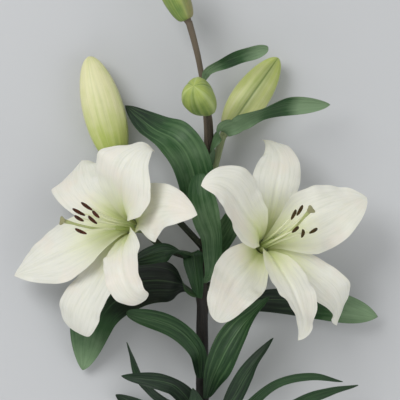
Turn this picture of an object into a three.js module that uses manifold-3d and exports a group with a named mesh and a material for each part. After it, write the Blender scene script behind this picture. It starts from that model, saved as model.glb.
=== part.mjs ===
// A cut flowering stem of a white lily, laid on its back on a flat surface.
// The stem lies along Y with its cut end at -Y, and the blooms face up and outwards.
// Lengths are in millimetres and angles in degrees. The surface it lies on is z = 0.
// Three low points carry it: the cut end of the stem and the bellies of two large buds.
import * as THREE from "three";
import { mergeVertices } from "three/addons/utils/BufferGeometryUtils.js";
import Module from "manifold-3d";

const { Vector3, MathUtils } = THREE;
const wasm = await Module();
wasm.setup();

// Driving dimensions
const SEAT_GAP = 0.45; // clearance between a piece and what carries it
const TEPAL_THICK = 0.9;
const LEAF_THICK = 0.8;
const FILAMENT = { length: 48.5, radius: 0.7 };
const PISTIL_LENGTH = 66;
const ANTHER = { length: 15, radius: 1.45 };

// How finely the surfaces are cut into faces
const TEPAL_FACES = { along: 16, across: 6 };
const LEAF_FACES = { along: 10, across: 2 };
const BUD_FACES = { along: 12, around: 15 };
const STEM_FACES = { steps: 28, sides: 10 };
const PEDICEL_FACES = { steps: 10, sides: 8 };
const PISTIL_FACES = { steps: 12, sides: 7 };
const FILAMENT_FACES = { steps: 4, sides: 5 };
const ANTHER_FACES = { steps: 4, sides: 6 };

const MATERIALS = {
  tepal: new THREE.MeshStandardMaterial({ color: "#f3f3ea", roughness: 0.55 }),
  bud: new THREE.MeshStandardMaterial({ color: "#c9d08c", roughness: 0.5 }),
  leaf: new THREE.MeshStandardMaterial({ color: "#2f5a33", roughness: 0.4 }),
  stem: new THREE.MeshStandardMaterial({ color: "#3b352b", roughness: 0.5 }),
  pistil: new THREE.MeshStandardMaterial({ color: "#c3cf9a", roughness: 0.5 }),
  anther: new THREE.MeshStandardMaterial({ color: "#5a2a18", roughness: 0.8 }),
};

// The main stem: points of its centre line and its radius at each
const STEM = {
  line: [
    [2, -219, 4.92],
    [3.5, -168, 11],
    [4, -114, 18],
    [4, -38, 25],
    [6, 38, 30],
    [7.5, 84, 31],
    [6, 110, 31],
    [3, 135, 32],
    [-1.2, 155, 34],
    [-6.2, 173, 37],
  ],
  radii: [5.2, 5.1, 5, 4.8, 4.2, 2.9, 2.3, 2.2, 2.1, 2.6],
};

// The two open blooms. A tepal leaves its bloom at `turn` round the bloom's axis.
// `open` is its angle from the axis and `sway` its swing sideways, both from foot to tip.
// `twist` rolls it about its midrib, `cup` bends it across, and `wave` ruffles its edge.
// `left` and `right` widen each side of its outline by a share, from foot to tip.
const INNER = { foot: 4.2, ring: 4.6 };
const OUTER = { foot: 5.2, ring: 6.5 };
const BLOOMS = {
  left: {
    base: [-48, 18, 50],
    axis: [-0.72, 0.1, 0.69],
    tepals: {
      petal_top: {
        ...INNER, turn: 333.1, length: 94.7, half: 27.1, widest: 0.51, slimTip: 2.6, wave: 1.5,
        open: [10, 40, 52, 63, 103, 147, 221], sway: [-9, -9, -8, -2, 10, 1], twist: [16, 4, 8, 4, 8],
        cup: [14, 22, -1, 20], left: [0.9, 1.15, 1.24, 1.2, 1.02, 0.94, 0.99],
        right: [0.83, 0.85, 0.97, 1.05, 1.15, 0.9, 0.95],
      },
      petal_side: {
        ...INNER, turn: 110.3, length: 107.3, half: 22, widest: 0.42, slimTip: 1.65, wave: 1.2,
        open: [10, 44, 67, 74, 80, 82, 92], sway: [20, 15, 8, 4, -2, 0], twist: [-2, -7, -13, -8, 5],
        cup: [19, 29, 21, 22], left: [0.93, 1.04, 1, 0.98, 0.95, 0.94, 1],
        right: [1.06, 0.94, 0.93, 1.05, 0.98, 0.99, 0.94],
      },
      petal_low: {
        ...INNER, turn: 206.3, length: 86.4, half: 16.2, widest: 0.65, slimTip: 1.31, wave: 1.4,
        open: [21, 44, 46, 68, 95, 135, 187], sway: [8, 25, 15, 1, -10, -12],
        twist: [-1, -9, -13, -17, -22], cup: [11, 10, 15, -6],
        left: [1.03, 1.23, 1.07, 0.97, 0.93, 1, 1.07],
        right: [1.01, 1.12, 1.25, 1.1, 0.81, 0.72, 0.94],
      },
      sepal_upper: {
        ...OUTER, turn: 48.2, length: 88.7, half: 19.9, widest: 0.57, slimTip: 1.51, wave: 1,
        open: [30, 44, 60, 90, 115, 128, 138], sway: [3, 8, 4, 0, -1, -2], twist: [-13, 5, 28, 30, 10],
        cup: [39, 22, -4, -46], left: [0.89, 0.92, 0.97, 1.06, 1.06, 1.04, 0.97],
        right: [1.01, 0.92, 0.91, 1.01, 1.16, 1.12, 1.01],
      },
      sepal_low: {
        ...OUTER, turn: 164.2, length: 94.1, half: 17.7, widest: 0.74, slimTip: 1.54, wave: 1,
        open: [24, 62, 78, 80, 87, 109, 137], sway: [0, -3, -10, -14, -15, -12],
        twist: [1, 2, -11, -19, -13], cup: [26, 8, 3, 6], left: [1.04, 0.99, 1.01, 1.06, 1.02],
        right: [1.15, 1.14, 1, 1, 0.99],
      },
      sepal_near: {
        ...OUTER, turn: 280.7, length: 83.2, half: 17.7, widest: 0.58, slimTip: 1.93, wave: 1,
        open: [27, 59, 71, 81, 92, 111, 136], sway: [-3, 8, 4, -4, -18, -33],
        twist: [0, -2, -7, -20, -42], cup: [39, 11, -5, -4],
        left: [0.9, 0.71, 1.12, 1.4, 1.11, 0.97, 0.99],
        right: [1.23, 1.45, 1.31, 1.14, 1.03, 0.97, 0.91],
      },
    },
    stamens: [
      { turn: 350, lean: 10.8, lies: [0.55, -0.36, 0.76] },
      { turn: 42, lean: 8.1, lies: [0.62, -0.32, 0.72] },
      { turn: 69, lean: 3.8, lies: [0.46, -0.25, 0.85] },
      { turn: 275, lean: 9.7, lies: [0.43, -0.35, 0.83] },
      { turn: 166, lean: 7.3, lies: [0.57, -0.23, 0.79] },
      { turn: 292, lean: 13.7, lies: [0.34, -0.31, 0.89] },
    ],
    pistil: { turn: 97, lean: 7, bend: [0, -4, 0] },
  },
  right: {
    base: [48, 3, 50],
    axis: [0.55, 0.34, 0.76],
    tepals: {
      petal_upper: {
        ...INNER, turn: 59.7, length: 94, half: 22, widest: 0.58, slimTip: 2.07, wave: 1.2,
        open: [13, 42, 59, 59, 66, 96, 148], sway: [-4, 5, 4, -8, 2, 34], twist: [-5, -15, -7, -4, 8],
        cup: [19, 27, 16, 16], left: [0.82, 0.88, 1.05, 1.08, 1.03],
        right: [1.1, 1.12, 0.98, 0.9, 0.98],
      },
      petal_side: {
        ...INNER, turn: 291, length: 89.3, half: 23.4, widest: 0.56, slimTip: 2.09, wave: 1.2,
        open: [11, 42, 46, 54, 66, 74, 87], sway: [0, -6, -4, -2, -3, -7],
        twist: [-9, 4, -6, -20, -28], cup: [33, 19, 19, 39], left: [1.29, 1.12, 1.06, 1.06, 1.1],
        right: [1.23, 1.14, 1.04, 0.99, 1.03],
      },
      petal_low: {
        ...INNER, turn: 169.5, length: 103.6, half: 16.3, widest: 0.5, slimTip: 1.79, wave: 1.4,
        open: [8, 47, 59, 62, 70, 73, 114], sway: [-12, -3, 6, 1, -4, -32], twist: [1, 7, 9, -4, -10],
        cup: [45, 35, 17, 26], left: [0.95, 1.01, 1.1, 0.97, 1.04, 1.05, 1.16],
        right: [0.74, 0.87, 0.96, 1, 1.09, 0.97, 1.18],
      },
      sepal_top: {
        ...OUTER, turn: 350.3, length: 95.5, half: 17.9, widest: 0.48, slimTip: 2.27, wave: 1,
        open: [27, 56, 75, 83, 98, 124, 153], sway: [-1, -3, -9, -14, 2, 27],
        twist: [3, -1, -19, -21, -7], cup: [24, 7, -2, -8], left: [0.96, 0.93, 1.03, 1.05, 1.01],
        right: [0.99, 1.06, 1.04, 0.99, 1.02],
      },
      sepal_near: {
        ...OUTER, turn: 118.5, length: 87.6, half: 19.6, widest: 0.52, slimTip: 1.01, wave: 1,
        open: [26, 74, 81, 83, 84, 98, 104], sway: [12, 11, 8, 14, 23, 31], twist: [-2, -1, 7, 3, -5],
        cup: [20, 11, 11, 3], left: [0.97, 1.08, 1.03, 1.02, 1.06],
        right: [0.83, 1.09, 1.01, 0.93, 0.96],
      },
      sepal_low: {
        ...OUTER, turn: 226.6, length: 94.6, half: 15.2, widest: 0.63, slimTip: 2.66, wave: 1,
        open: [27, 62, 79, 87, 111, 139, 139], sway: [5, -5, -3, 2, -4, -12], twist: [0, 13, 23, 9, 0],
        cup: [30, 16, 39, -21], left: [1.03, 0.85, 0.89, 0.99, 0.85, 0.87, 1.02],
        right: [0.84, 1.01, 1.04, 1.07, 1.09, 1.01, 0.99],
      },
    },
    stamens: [
      { turn: 22, lean: 8.2, lies: [0.25, 0.45, -0.86] },
      { turn: 341, lean: 12.4, lies: [0.3, 0.48, -0.83] },
      { turn: 125, lean: 5.5, lies: [0.32, 0.25, -0.91] },
      { turn: 182, lean: 5.8, lies: [0.09, 0.35, -0.93] },
      { turn: 251, lean: 13.5, lies: [0.4, 0.21, -0.89] },
      { turn: 308, lean: 22.5, lies: [0.03, 0.06, -1] },
    ],
    pistil: { turn: 345.5, lean: 6.7, bend: [2, -2.5, 0] },
  },
};

// The four buds: spindles of three soft lobes between `base` and `tip`
const BUDS = {
  left: {
    base: [-61, 68, 15.3], tip: [-82.5, 148, 14],
    half: 15.3, widest: 0.45, slimFoot: 1.3, slimTip: 1.1, lobe: 0.05, turn: 90,
  },
  right: {
    base: [22.3, 90.5, 14], tip: [62, 147, 12.6],
    half: 13.4, widest: 0.44, slimFoot: 1.5, slimTip: 1.15, lobe: 0.06, turn: 90,
  },
  middle: {
    base: [6.4, 107, 50], tip: [-2.4, 122.3, 83],
    half: 11.7, widest: 0.5, slimFoot: 0.9, slimTip: 0.9, lobe: 0.08, turn: 80,
  },
  top: {
    base: [-7.4, 174.5, 37], tip: [-28, 217.6, 40],
    half: 9.8, widest: 0.5, slimFoot: 1, slimTip: 1, lobe: 0.06, turn: 45,
  },
};

// Flower stalks: each leaves the main stem and ends under its bloom or bud
const PEDICELS = {
  left_bloom: { line: [[4.5, -8, 27], [-11, -3.5, 23], [-27, 3, 26], [-38, 14, 38]], radius: 2.6, cap: 6.4 },
  right_bloom: {
    line: [[4.5, -30, 25], [20, -20, 24], [32, -9, 29], [40.3, -1.8, 39.4]], radius: 2.6, cap: 6.4,
  },
  left_bud: { line: [[5, 2, 28], [-10.5, 18.5, 22.5], [-27, 36, 18], [-46, 53, 14.5]], radius: 2.4, cap: 3.6 },
  right_bud: { line: [[6.5, 46, 30], [12.8, 62, 27], [16.8, 77, 21]], radius: 2.7, cap: 3.6 },
  middle_bud: { line: [[7, 68, 30.5], [10, 84, 32], [9.5, 98, 39]], radius: 2.2, cap: 3.4 },
  top_bud: { line: [[-1.2, 155, 34], [-3.8, 165, 35.5]], radius: 2.2, cap: 3.4 },
};

// Leaves. Each grows from the main stem where its centre line passes `at` in Y, runs through
// the points of `rib`, and is `half` wide each side. `across` is roughly the line from edge to edge.
const LEAVES = {
  leaf_top_slim: {
    at: 128.8, rib: [[10.1, 136.8, 41.5], [33.9, 147.6, 42.3], [53.7, 152.9, 39.6]],
    half: 6.7, across: [-0.3, 0.72, 0.57], turned: [-0.2, 0.74, 0.56], widest: 0.69, slimFoot: 1.2,
    slimTip: 1.26,
  },
  leaf_top_broad: {
    at: 62,
    rib: [[14.8, 87.1, 38.2], [29.9, 95.9, 48.1], [45.4, 102.9, 54.1], [68, 110.1, 48.4], [100.2, 110, 41.1]],
    half: 9.4, across: [0.69, 0.61, 0.69], turned: [0.23, 0.55, 0.38], widest: 0.7, slimFoot: 0.84,
    slimTip: 2.4,
  },
  leaf_upper_broad: {
    at: 24.2, rib: [[-4.5, 64.4, 43.5], [-15.6, 82.5, 46.5], [-33.6, 92.7, 31.1], [-55, 110.7, 8.8]],
    half: 16.2, across: [0.82, 0.47, -0.15], turned: [0.87, 0.19, 0.03], widest: 0.45, slimFoot: 0.87,
    slimTip: 1.51,
  },
  leaf_front: {
    at: -24,
    rib: [[11.7, -14, 45.5], [12.1, 9.9, 57], [7.4, 26.7, 58.2], [3.4, 43.4, 60.2], [2.4, 57.9, 54.7]],
    half: 11.5, across: [0.71, -0.11, 0.41], turned: [1.06, 0.11, 0.17], widest: 0.68, slimFoot: 1.43,
    slimTip: 1.35,
  },
  leaf_right_dark: {
    at: -8, rib: [[17, 5, 33], [27, 22, 36], [35, 40, 33]],
    half: 9, across: [0.85, -0.5, 0.2], widest: 0.5,
  },
  leaf_right_broad: {
    at: -42, rib: [[20, -42, 20], [45, -38, 18], [75, -38, 20], [105, -42, 20], [138, -51, 14]],
    half: 13, across: [0.1, 0.9, 0.3], widest: 0.72, slimTip: 3,
  },
  leaf_left_broad: {
    at: -34.5,
    rib: [[-15, -24.7, 24.4], [-46.5, -25, 26.5], [-75.8, -45.4, 18.7], [-87.7, -92.2, 6.7]],
    half: 20.1, across: [-0.35, 1.01, 0.08], turned: [-0.47, 0.85, 0.17], widest: 0.52, slimFoot: 0.89,
    slimTip: 1.53,
  },
  leaf_left_dark: {
    at: -35.9, rib: [[-1.8, -11.2, 35.7], [-4.8, -2, 35.8], [-25.1, -0.2, 43.5], [-50.2, -8.9, 38]],
    half: 9, across: [1.19, -0.26, 0.33], turned: [-0.02, 0.81, 0.26], widest: 0.56, slimFoot: 1.13,
    slimTip: 1.39,
  },
  leaf_left_arched: {
    at: -96.6, rib: [[-0.5, -74.2, 36.4], [-19.4, -56.4, 41.3], [-53.4, -46.9, 34.2]],
    half: 8.3, across: [0.82, 0.5, 0.18], widest: 0.58, slimFoot: 1.12, slimTip: 1.13,
  },
  leaf_left_thin: {
    at: -112, rib: [[-22, -114, 30], [-41, -97, 40], [-53, -69, 40]],
    half: 6.5, across: [0.5, 0.3, 0.8], widest: 0.4,
  },
  leaf_left_bent: {
    at: -126, rib: [[-11, -106, 46], [-24, -98, 54], [-57, -94, 46]],
    half: 8, across: [0.7, 0.6, 0.3], widest: 0.45,
  },
  leaf_upright: {
    at: -139, rib: [[0, -124, 50], [-1, -111, 74], [-3, -100, 92]],
    half: 8, across: [0.95, 0.3, 0], widest: 0.45,
  },
  leaf_right_striped: {
    at: -112, rib: [[15.6, -88.3, 36.3], [31.6, -59.7, 39], [54.7, -35, 31.5]],
    half: 11.8, across: [0.75, 0.57, 0.16], turned: [0.73, 0.36, 0.16], widest: 0.5, slimFoot: 1.3,
    slimTip: 1.54,
  },
  leaf_right_pointed: {
    at: -128, rib: [[22, -117, 46], [38, -90, 56], [57, -65, 54]],
    half: 7.5, across: [0.8, 0.5, 0.2], widest: 0.45,
  },
  leaf_right_bent: {
    at: -146, rib: [[32, -123, 34], [58, -100, 45], [85, -94, 45], [110, -99, 38]],
    half: 5.5, across: [0.3, 0.8, 0.6], widest: 0.45,
  },
  leaf_right_long: {
    at: -158, rib: [[40, -136, 26], [77, -114, 34], [100, -106, 36], [122, -102, 32]],
    half: 6, across: [0.4, 0.8, 0.5], widest: 0.5,
  },
};

// Leaves of the under side spread along the surface, in turn left and right down the lower stem
const FLOOR_LEAVES = { count: 6, first: -151, step: 10.5, half: 8, reach: 66, height: 2.8, sweep: 0.5 };

const rad = MathUtils.degToRad;
const vec = (p) => new Vector3(...p);
const smooth = (x) => MathUtils.smoothstep(x, 0, 1);

// Positions from 0 to 1, closer together towards both ends
const spaced = (i, count) => i / count - (0.6 * Math.sin((2 * Math.PI * i) / count)) / (2 * Math.PI);

// A value that runs smoothly through a list of values laid evenly from 0 to 1
function along(values, s) {
  if (values.length === 1) return values[0];
  const u = MathUtils.clamp(s, 0, 1) * (values.length - 1);
  const i = Math.min(Math.floor(u), values.length - 2);
  const f = u - i;
  const b = values[i];
  const c = values[i + 1];
  const a = values[i - 1] ?? 2 * b - c;
  const d = values[i + 2] ?? 2 * c - b;
  return b + 0.5 * f * (c - a + f * (2 * a - 5 * b + 4 * c - d + f * (3 * b - a - 3 * c + d)));
}

// A smooth line through points
const lineThrough = (points) => new THREE.CatmullRomCurve3(points, false, "catmullrom", 0.5);

// Share of the full half-width at s: 0 at both ends, 1 at `widest`
function outline(s, { widest, slimFoot = 1, slimTip = 1.3 }) {
  const rise = Math.pow(s / widest, widest) * Math.pow((1 - s) / (1 - widest), 1 - widest);
  return Math.pow(rise, s < widest ? slimFoot : slimTip);
}

// Closes a grid of quads, points[i][j], round its far edge: two faces `thick` apart and four rims.
// Both faces are cut along the same diagonals.
function closedBlade(points, thick) {
  const rows = points.length;
  const cols = points[0].length;
  const position = [];
  const index = [];
  for (const side of [0.5, -0.5])
    for (let i = 0; i < rows; i++)
      for (let j = 0; j < cols; j++) {
        const along = points[Math.min(i + 1, rows - 1)][j].clone().sub(points[Math.max(i - 1, 0)][j]);
        const over = points[i][Math.min(j + 1, cols - 1)].clone().sub(points[i][Math.max(j - 1, 0)]);
        const normal = over.cross(along).normalize();
        position.push(...points[i][j].clone().addScaledVector(normal, side * thick).toArray());
      }
  const at = (i, j, face) => face * rows * cols + i * cols + j;
  const quad = (a, b, c, d) => index.push(a, b, c, a, c, d);
  for (let i = 0; i < rows - 1; i++)
    for (let j = 0; j < cols - 1; j++) {
      quad(at(i, j, 0), at(i, j + 1, 0), at(i + 1, j + 1, 0), at(i + 1, j, 0));
      index.push(at(i, j, 1), at(i + 1, j + 1, 1), at(i, j + 1, 1));
      index.push(at(i, j, 1), at(i + 1, j, 1), at(i + 1, j + 1, 1));
    }
  for (let i = 0; i < rows - 1; i++) {
    quad(at(i, 0, 0), at(i + 1, 0, 0), at(i + 1, 0, 1), at(i, 0, 1));
    quad(at(i + 1, cols - 1, 0), at(i, cols - 1, 0), at(i, cols - 1, 1), at(i + 1, cols - 1, 1));
  }
  for (let j = 0; j < cols - 1; j++) {
    quad(at(0, j + 1, 0), at(0, j, 0), at(0, j, 1), at(0, j + 1, 1));
    quad(at(rows - 1, j, 0), at(rows - 1, j + 1, 0), at(rows - 1, j + 1, 1), at(rows - 1, j, 1));
  }
  return new THREE.BufferGeometry()
    .setAttribute("position", new THREE.BufferAttribute(new Float32Array(position), 3))
    .setIndex(index);
}

// A section bent to an arc of half-angle `cup`, `half` wide at t = -1 and 1, with a ruffled edge
function sectionPoint(frame, half, cup, ruffle, t) {
  const bend = Math.abs(cup) < 1e-3 ? 1e-3 : cup;
  const sideways = (half * Math.sin(bend * t)) / bend;
  const inwards = (half * (1 - Math.cos(bend * t))) / bend + ruffle * Math.pow(Math.abs(t), 2.5);
  return frame.point.clone().addScaledVector(frame.side, sideways).addScaledVector(frame.normal, inwards);
}

// A bloom's own directions: its axis, the way up and the way aside across it
function bloomDirections(bloom) {
  const axis = vec(bloom.axis).normalize();
  const up = new Vector3(0, 1, 0).addScaledVector(axis, -axis.y).normalize();
  const aside = axis.clone().cross(up);
  return { axis, up, aside };
}

// The direction `turn` degrees round the bloom's axis, and the one a quarter turn on
function radial({ axis, up, aside }, turn) {
  const out = up.clone().multiplyScalar(Math.cos(rad(turn))).addScaledVector(aside, Math.sin(rad(turn)));
  return { out, round: axis.clone().cross(out) };
}

// Frames down a tepal's midrib, from its foot on the ring round the bloom's axis to its tip
function tepalFrames(bloom, tepal, count) {
  const directions = bloomDirections(bloom);
  const { axis } = directions;
  const { out, round } = radial(directions, tepal.turn);
  const heading = (s) => {
    const open = rad(along(tepal.open, s));
    const sway = rad(along(tepal.sway, s));
    const away = out.clone().multiplyScalar(Math.cos(sway)).addScaledVector(round, Math.sin(sway));
    const side = round.clone().multiplyScalar(Math.cos(sway)).addScaledVector(out, -Math.sin(sway));
    const tangent = axis.clone().multiplyScalar(Math.cos(open)).addScaledVector(away, Math.sin(open));
    const normal = axis.clone().multiplyScalar(Math.sin(open)).addScaledVector(away, -Math.cos(open));
    const roll = rad(along(tepal.twist, s));
    const rolledSide = side.clone().multiplyScalar(Math.cos(roll)).addScaledVector(normal, Math.sin(roll));
    normal.multiplyScalar(Math.cos(roll)).addScaledVector(side, -Math.sin(roll));
    return { tangent, side: rolledSide, normal };
  };
  const point = vec(bloom.base).addScaledVector(out, tepal.ring);
  const frames = [];
  const fine = 12;
  for (let i = 0; i <= count; i++) {
    const s = spaced(i, count);
    const fromAxis = point.clone().sub(vec(bloom.base));
    fromAxis.addScaledVector(axis, -fromAxis.dot(axis));
    frames.push({ s, point: point.clone(), reach: fromAxis.length(), ...heading(s) });
    const step = (spaced(i + 1, count) - s) / fine;
    for (let k = 0; k < fine; k++)
      point.addScaledVector(heading(s + (k + 0.5) * step).tangent, step * tepal.length);
  }
  return frames;
}

// A tepal is no wider than its share of the ring, and near its foot it wraps round the bloom's axis
function tepalGeometry(bloom, tepal) {
  const share = 0.88;
  const columns = TEPAL_FACES.across;
  const points = tepalFrames(bloom, tepal, TEPAL_FACES.along).map((frame) => {
    const { s, reach } = frame;
    const foot = tepal.foot * Math.pow(Math.max(1 - 2.5 * s, 0), 2);
    const half = Math.min(Math.max(tepal.half * outline(s, tepal) + foot, 0.6), share * reach);
    const wrap = smooth((0.5 - s) / 0.3);
    const cup = rad(along(tepal.cup, s)) * (1 - wrap) + (wrap * half) / reach;
    const ruffled = tepal.wave * smooth((s - 0.2) / 0.3) * smooth((1 - s) / 0.2);
    return Array.from({ length: columns + 1 }, (_, j) => {
      const t = (2 * j) / columns - 1;
      const ruffle = ruffled * Math.sin(rad(1080 * s + (t > 0 ? 126 : 0)));
      const widened = Math.max(along([1, ...(t < 0 ? tepal.left : tepal.right)], s), 0.2);
      return sectionPoint(frame, half * widened, cup, ruffle, t);
    });
  });
  return closedBlade(points, TEPAL_THICK);
}

// Where the main stem's centre line passes y, with its direction and radius there
const stemCurve = lineThrough(STEM.line.map(vec));
function stemAt(y) {
  let low = 0;
  let high = 1;
  for (let k = 0; k < 30; k++) {
    const middle = (low + high) / 2;
    if (stemCurve.getPointAt(middle).y < y) low = middle;
    else high = middle;
  }
  const radius = along(STEM.radii, low);
  return { point: stemCurve.getPointAt(low), tangent: stemCurve.getTangentAt(low), radius };
}

// A leaf's foot stands just clear of the stem, across it, and its blade turns to `across` further out.
// A leaf with a twist turns on from there to `turned`.
function leafGeometry(leaf) {
  const { point, tangent: stemWay, radius } = stemAt(leaf.at);
  const out = vec(leaf.rib[0]).sub(point);
  out.addScaledVector(stemWay, -out.dot(stemWay)).normalize();
  const foot = point.clone().addScaledVector(out, radius + LEAF_THICK / 2 + SEAT_GAP);
  const curve = lineThrough([foot, ...leaf.rib.map(vec)]);
  const across = vec(leaf.across);
  const turned = vec(leaf.turned ?? leaf.across);
  const footAcross = stemWay.clone().cross(out);
  if (footAcross.dot(across) < 0) footAcross.negate();
  const frameAt = (s) => {
    const tangent = curve.getTangentAt(s);
    const side = footAcross.clone().lerp(across, smooth(s / 0.25));
    side.addScaledVector(turned.clone().sub(across), smooth((s - 0.45) / 0.3));
    side.addScaledVector(tangent, -side.dot(tangent)).normalize();
    return { point: curve.getPointAt(s), side, normal: side.clone().cross(tangent) };
  };
  const upwards = frameAt(0.5).normal.z < 0 ? -1 : 1;
  const count = LEAF_FACES.along;
  const columns = LEAF_FACES.across;
  const points = Array.from({ length: count + 1 }, (_, i) => {
    const s = spaced(i, count);
    const frame = frameAt(s);
    frame.normal.multiplyScalar(upwards);
    const half = Math.max(leaf.half * outline(s, leaf) + 2 * Math.pow(1 - s, 6), 0.6);
    return Array.from({ length: columns + 1 }, (_, j) =>
      sectionPoint(frame, half, rad(35), 0, (2 * j) / columns - 1),
    );
  });
  return closedBlade(points, LEAF_THICK);
}

// Closes rings of points, rings[i][j], into a solid with a flat cap at each end
function closedTube(rings) {
  const sides = rings[0].length;
  const position = rings.flat().flatMap((p) => p.toArray());
  const index = [];
  const at = (i, j) => i * sides + (j % sides);
  for (let i = 0; i < rings.length - 1; i++)
    for (let j = 0; j < sides; j++) {
      index.push(at(i, j), at(i, j + 1), at(i + 1, j + 1));
      index.push(at(i, j), at(i + 1, j + 1), at(i + 1, j));
    }
  for (let j = 1; j < sides - 1; j++) {
    index.push(at(0, 0), at(0, j + 1), at(0, j));
    index.push(at(rings.length - 1, 0), at(rings.length - 1, j), at(rings.length - 1, j + 1));
  }
  return new THREE.BufferGeometry()
    .setAttribute("position", new THREE.BufferAttribute(new Float32Array(position), 3))
    .setIndex(index);
}

// A round tube down a smooth line, with the radius given for each share of its length
function tubeGeometry(curve, radiusAt, { steps, sides }) {
  const frames = curve.computeFrenetFrames(steps, false);
  const rings = Array.from({ length: steps + 1 }, (_, i) => {
    const centre = curve.getPointAt(i / steps);
    const radius = radiusAt(i / steps);
    return Array.from({ length: sides }, (_, j) => {
      const angle = (2 * Math.PI * j) / sides;
      return centre
        .clone()
        .addScaledVector(frames.normals[i], radius * Math.cos(angle))
        .addScaledVector(frames.binormals[i], radius * Math.sin(angle));
    });
  });
  return closedTube(rings);
}

// A bud: a spindle with three lobes, flat where its belly meets the surface it lies on
function budGeometry(bud) {
  const base = vec(bud.base);
  const way = vec(bud.tip).sub(base);
  const tangent = way.clone().normalize();
  const side = tangent.clone().cross(new Vector3(0, 0, 1)).normalize();
  if (tangent.z > 0.8) side.set(1, 0, 0).addScaledVector(tangent, -tangent.x).normalize();
  const other = tangent.clone().cross(side);
  const rings = Array.from({ length: BUD_FACES.along + 1 }, (_, i) => {
    const s = spaced(i, BUD_FACES.along);
    const centre = base.clone().addScaledVector(way, s);
    const radius = bud.half * outline(s, bud) + 3 * Math.pow(1 - s, 6) + 0.8 * s;
    return Array.from({ length: BUD_FACES.around }, (_, j) => {
      const angle = (2 * Math.PI * j) / BUD_FACES.around;
      const lobed = radius * (1 + bud.lobe * Math.cos(3 * (angle - rad(bud.turn))));
      const point = centre
        .clone()
        .addScaledVector(side, lobed * Math.cos(angle))
        .addScaledVector(other, lobed * Math.sin(angle));
      point.z = Math.max(point.z, 0);
      return point;
    });
  });
  return closedTube(rings);
}

// Joins geometries into one solid
function joined(geometries) {
  const solids = geometries.map((geometry) => {
    const merged = mergeVertices(geometry.deleteAttribute("normal").deleteAttribute("uv"), 1e-4);
    return new wasm.Manifold(
      new wasm.Mesh({
        numProp: 3,
        vertProperties: merged.attributes.position.array,
        triVerts: new Uint32Array(merged.index.array),
      }),
    );
  });
  const mesh = solids.reduce((whole, solid) => whole.add(solid)).getMesh();
  return new THREE.BufferGeometry()
    .setAttribute("position", new THREE.BufferAttribute(mesh.vertProperties, 3))
    .setIndex(new THREE.BufferAttribute(mesh.triVerts, 1));
}

// Each flower stalk ends just under its bloom or bud, swollen to `cap` there
function pedicelGeometry({ line, radius, cap }, base, way) {
  const end = base.clone().addScaledVector(way, -SEAT_GAP);
  const before = end.clone().addScaledVector(way, -5);
  const curve = lineThrough([...line.map(vec), before, end]);
  return tubeGeometry(curve, (s) => radius + (cap - radius) * Math.pow(s, 14), PEDICEL_FACES);
}

function stemGeometry() {
  const pieces = [tubeGeometry(stemCurve, (s) => along(STEM.radii, s), STEM_FACES)];
  for (const [side, bloom] of Object.entries(BLOOMS))
    pieces.push(pedicelGeometry(PEDICELS[side + "_bloom"], vec(bloom.base), vec(bloom.axis).normalize()));
  for (const [place, bud] of Object.entries(BUDS))
    pieces.push(
      pedicelGeometry(PEDICELS[place + "_bud"], vec(bud.base), vec(bud.tip).sub(vec(bud.base)).normalize()),
    );
  return joined(pieces);
}

// The line of a filament or a pistil: up from the bloom's centre, leaning outwards, with its middle
// moved by `bend`
function rodCurve(bloom, { turn, lean, bend = [0, 0, 0] }, length, startRadius) {
  const directions = bloomDirections(bloom);
  const { out } = radial(directions, turn);
  const far = length * Math.sin(rad(lean));
  const high = length * Math.cos(rad(lean));
  const point = (reach, lift) =>
    vec(bloom.base).addScaledVector(out, reach).addScaledVector(directions.axis, lift + SEAT_GAP);
  return lineThrough([
    point(startRadius, 0),
    point(startRadius + far * 0.35, high * 0.5).add(vec(bend)),
    point(startRadius + far, high),
  ]);
}

const filamentCurve = (bloom, stamen) => rodCurve(bloom, stamen, FILAMENT.length, 1.6);

// The pistil and the six filaments of a bloom, joined at the foot of the pistil
function pistilGeometry(bloom) {
  const thickness = (s) => 2.3 - 1.3 * smooth((s - 0.18) / 0.12) + 1.9 * smooth((s - 0.93) / 0.06);
  const pieces = [tubeGeometry(rodCurve(bloom, bloom.pistil, PISTIL_LENGTH, 0), thickness, PISTIL_FACES)];
  for (const stamen of bloom.stamens)
    pieces.push(tubeGeometry(filamentCurve(bloom, stamen), () => FILAMENT.radius, FILAMENT_FACES));
  return joined(pieces);
}

// An anther: a spindle that lies across the end of its filament, just clear of it
function antherGeometry(bloom, stamen) {
  const filament = filamentCurve(bloom, stamen);
  const tangent = filament.getTangent(1);
  const way = vec(stamen.lies).normalize();
  const slant = Math.abs(way.dot(tangent));
  const clear = (ANTHER.radius + SEAT_GAP + FILAMENT.radius * slant) / Math.sqrt(1 - slant * slant);
  const middle = filament.getPoint(1).addScaledVector(tangent, clear);
  const end = (share) => middle.clone().addScaledVector(way, share * ANTHER.length);
  const thickness = (s) => ANTHER.radius * Math.pow(Math.sin(Math.PI * (0.08 + 0.84 * s)), 0.6);
  return tubeGeometry(new THREE.LineCurve3(end(-0.5), end(0.5)), thickness, ANTHER_FACES);
}

// The leaves of the under side, by rule, in the form of the leaves above
function floorLeaves() {
  const { count, first, step, half, reach, height, sweep } = FLOOR_LEAVES;
  return Array.from({ length: count }, (_, i) => {
    const at = first - step * i;
    const side = i % 2 ? 1 : -1;
    const stem = stemAt(at).point;
    const far = reach * (0.84 + 0.16 * Math.cos(2.4 * i));
    const swept = sweep * (1 + 0.22 * Math.cos(1.9 * i));
    const tipHeight = height + 4 * (1 + Math.cos(3.1 * i));
    const point = (share, z) => [stem.x + side * far * share, at + far * share * swept, z];
    return {
      at,
      rib: [point(0.22, height + 4), point(0.55, height), point(1, tipHeight)],
      half: half * (1 + 0.1 * Math.cos(2.9 * i)),
      across: [-side * swept, 1, 0],
      widest: 0.5,
    };
  });
}

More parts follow.
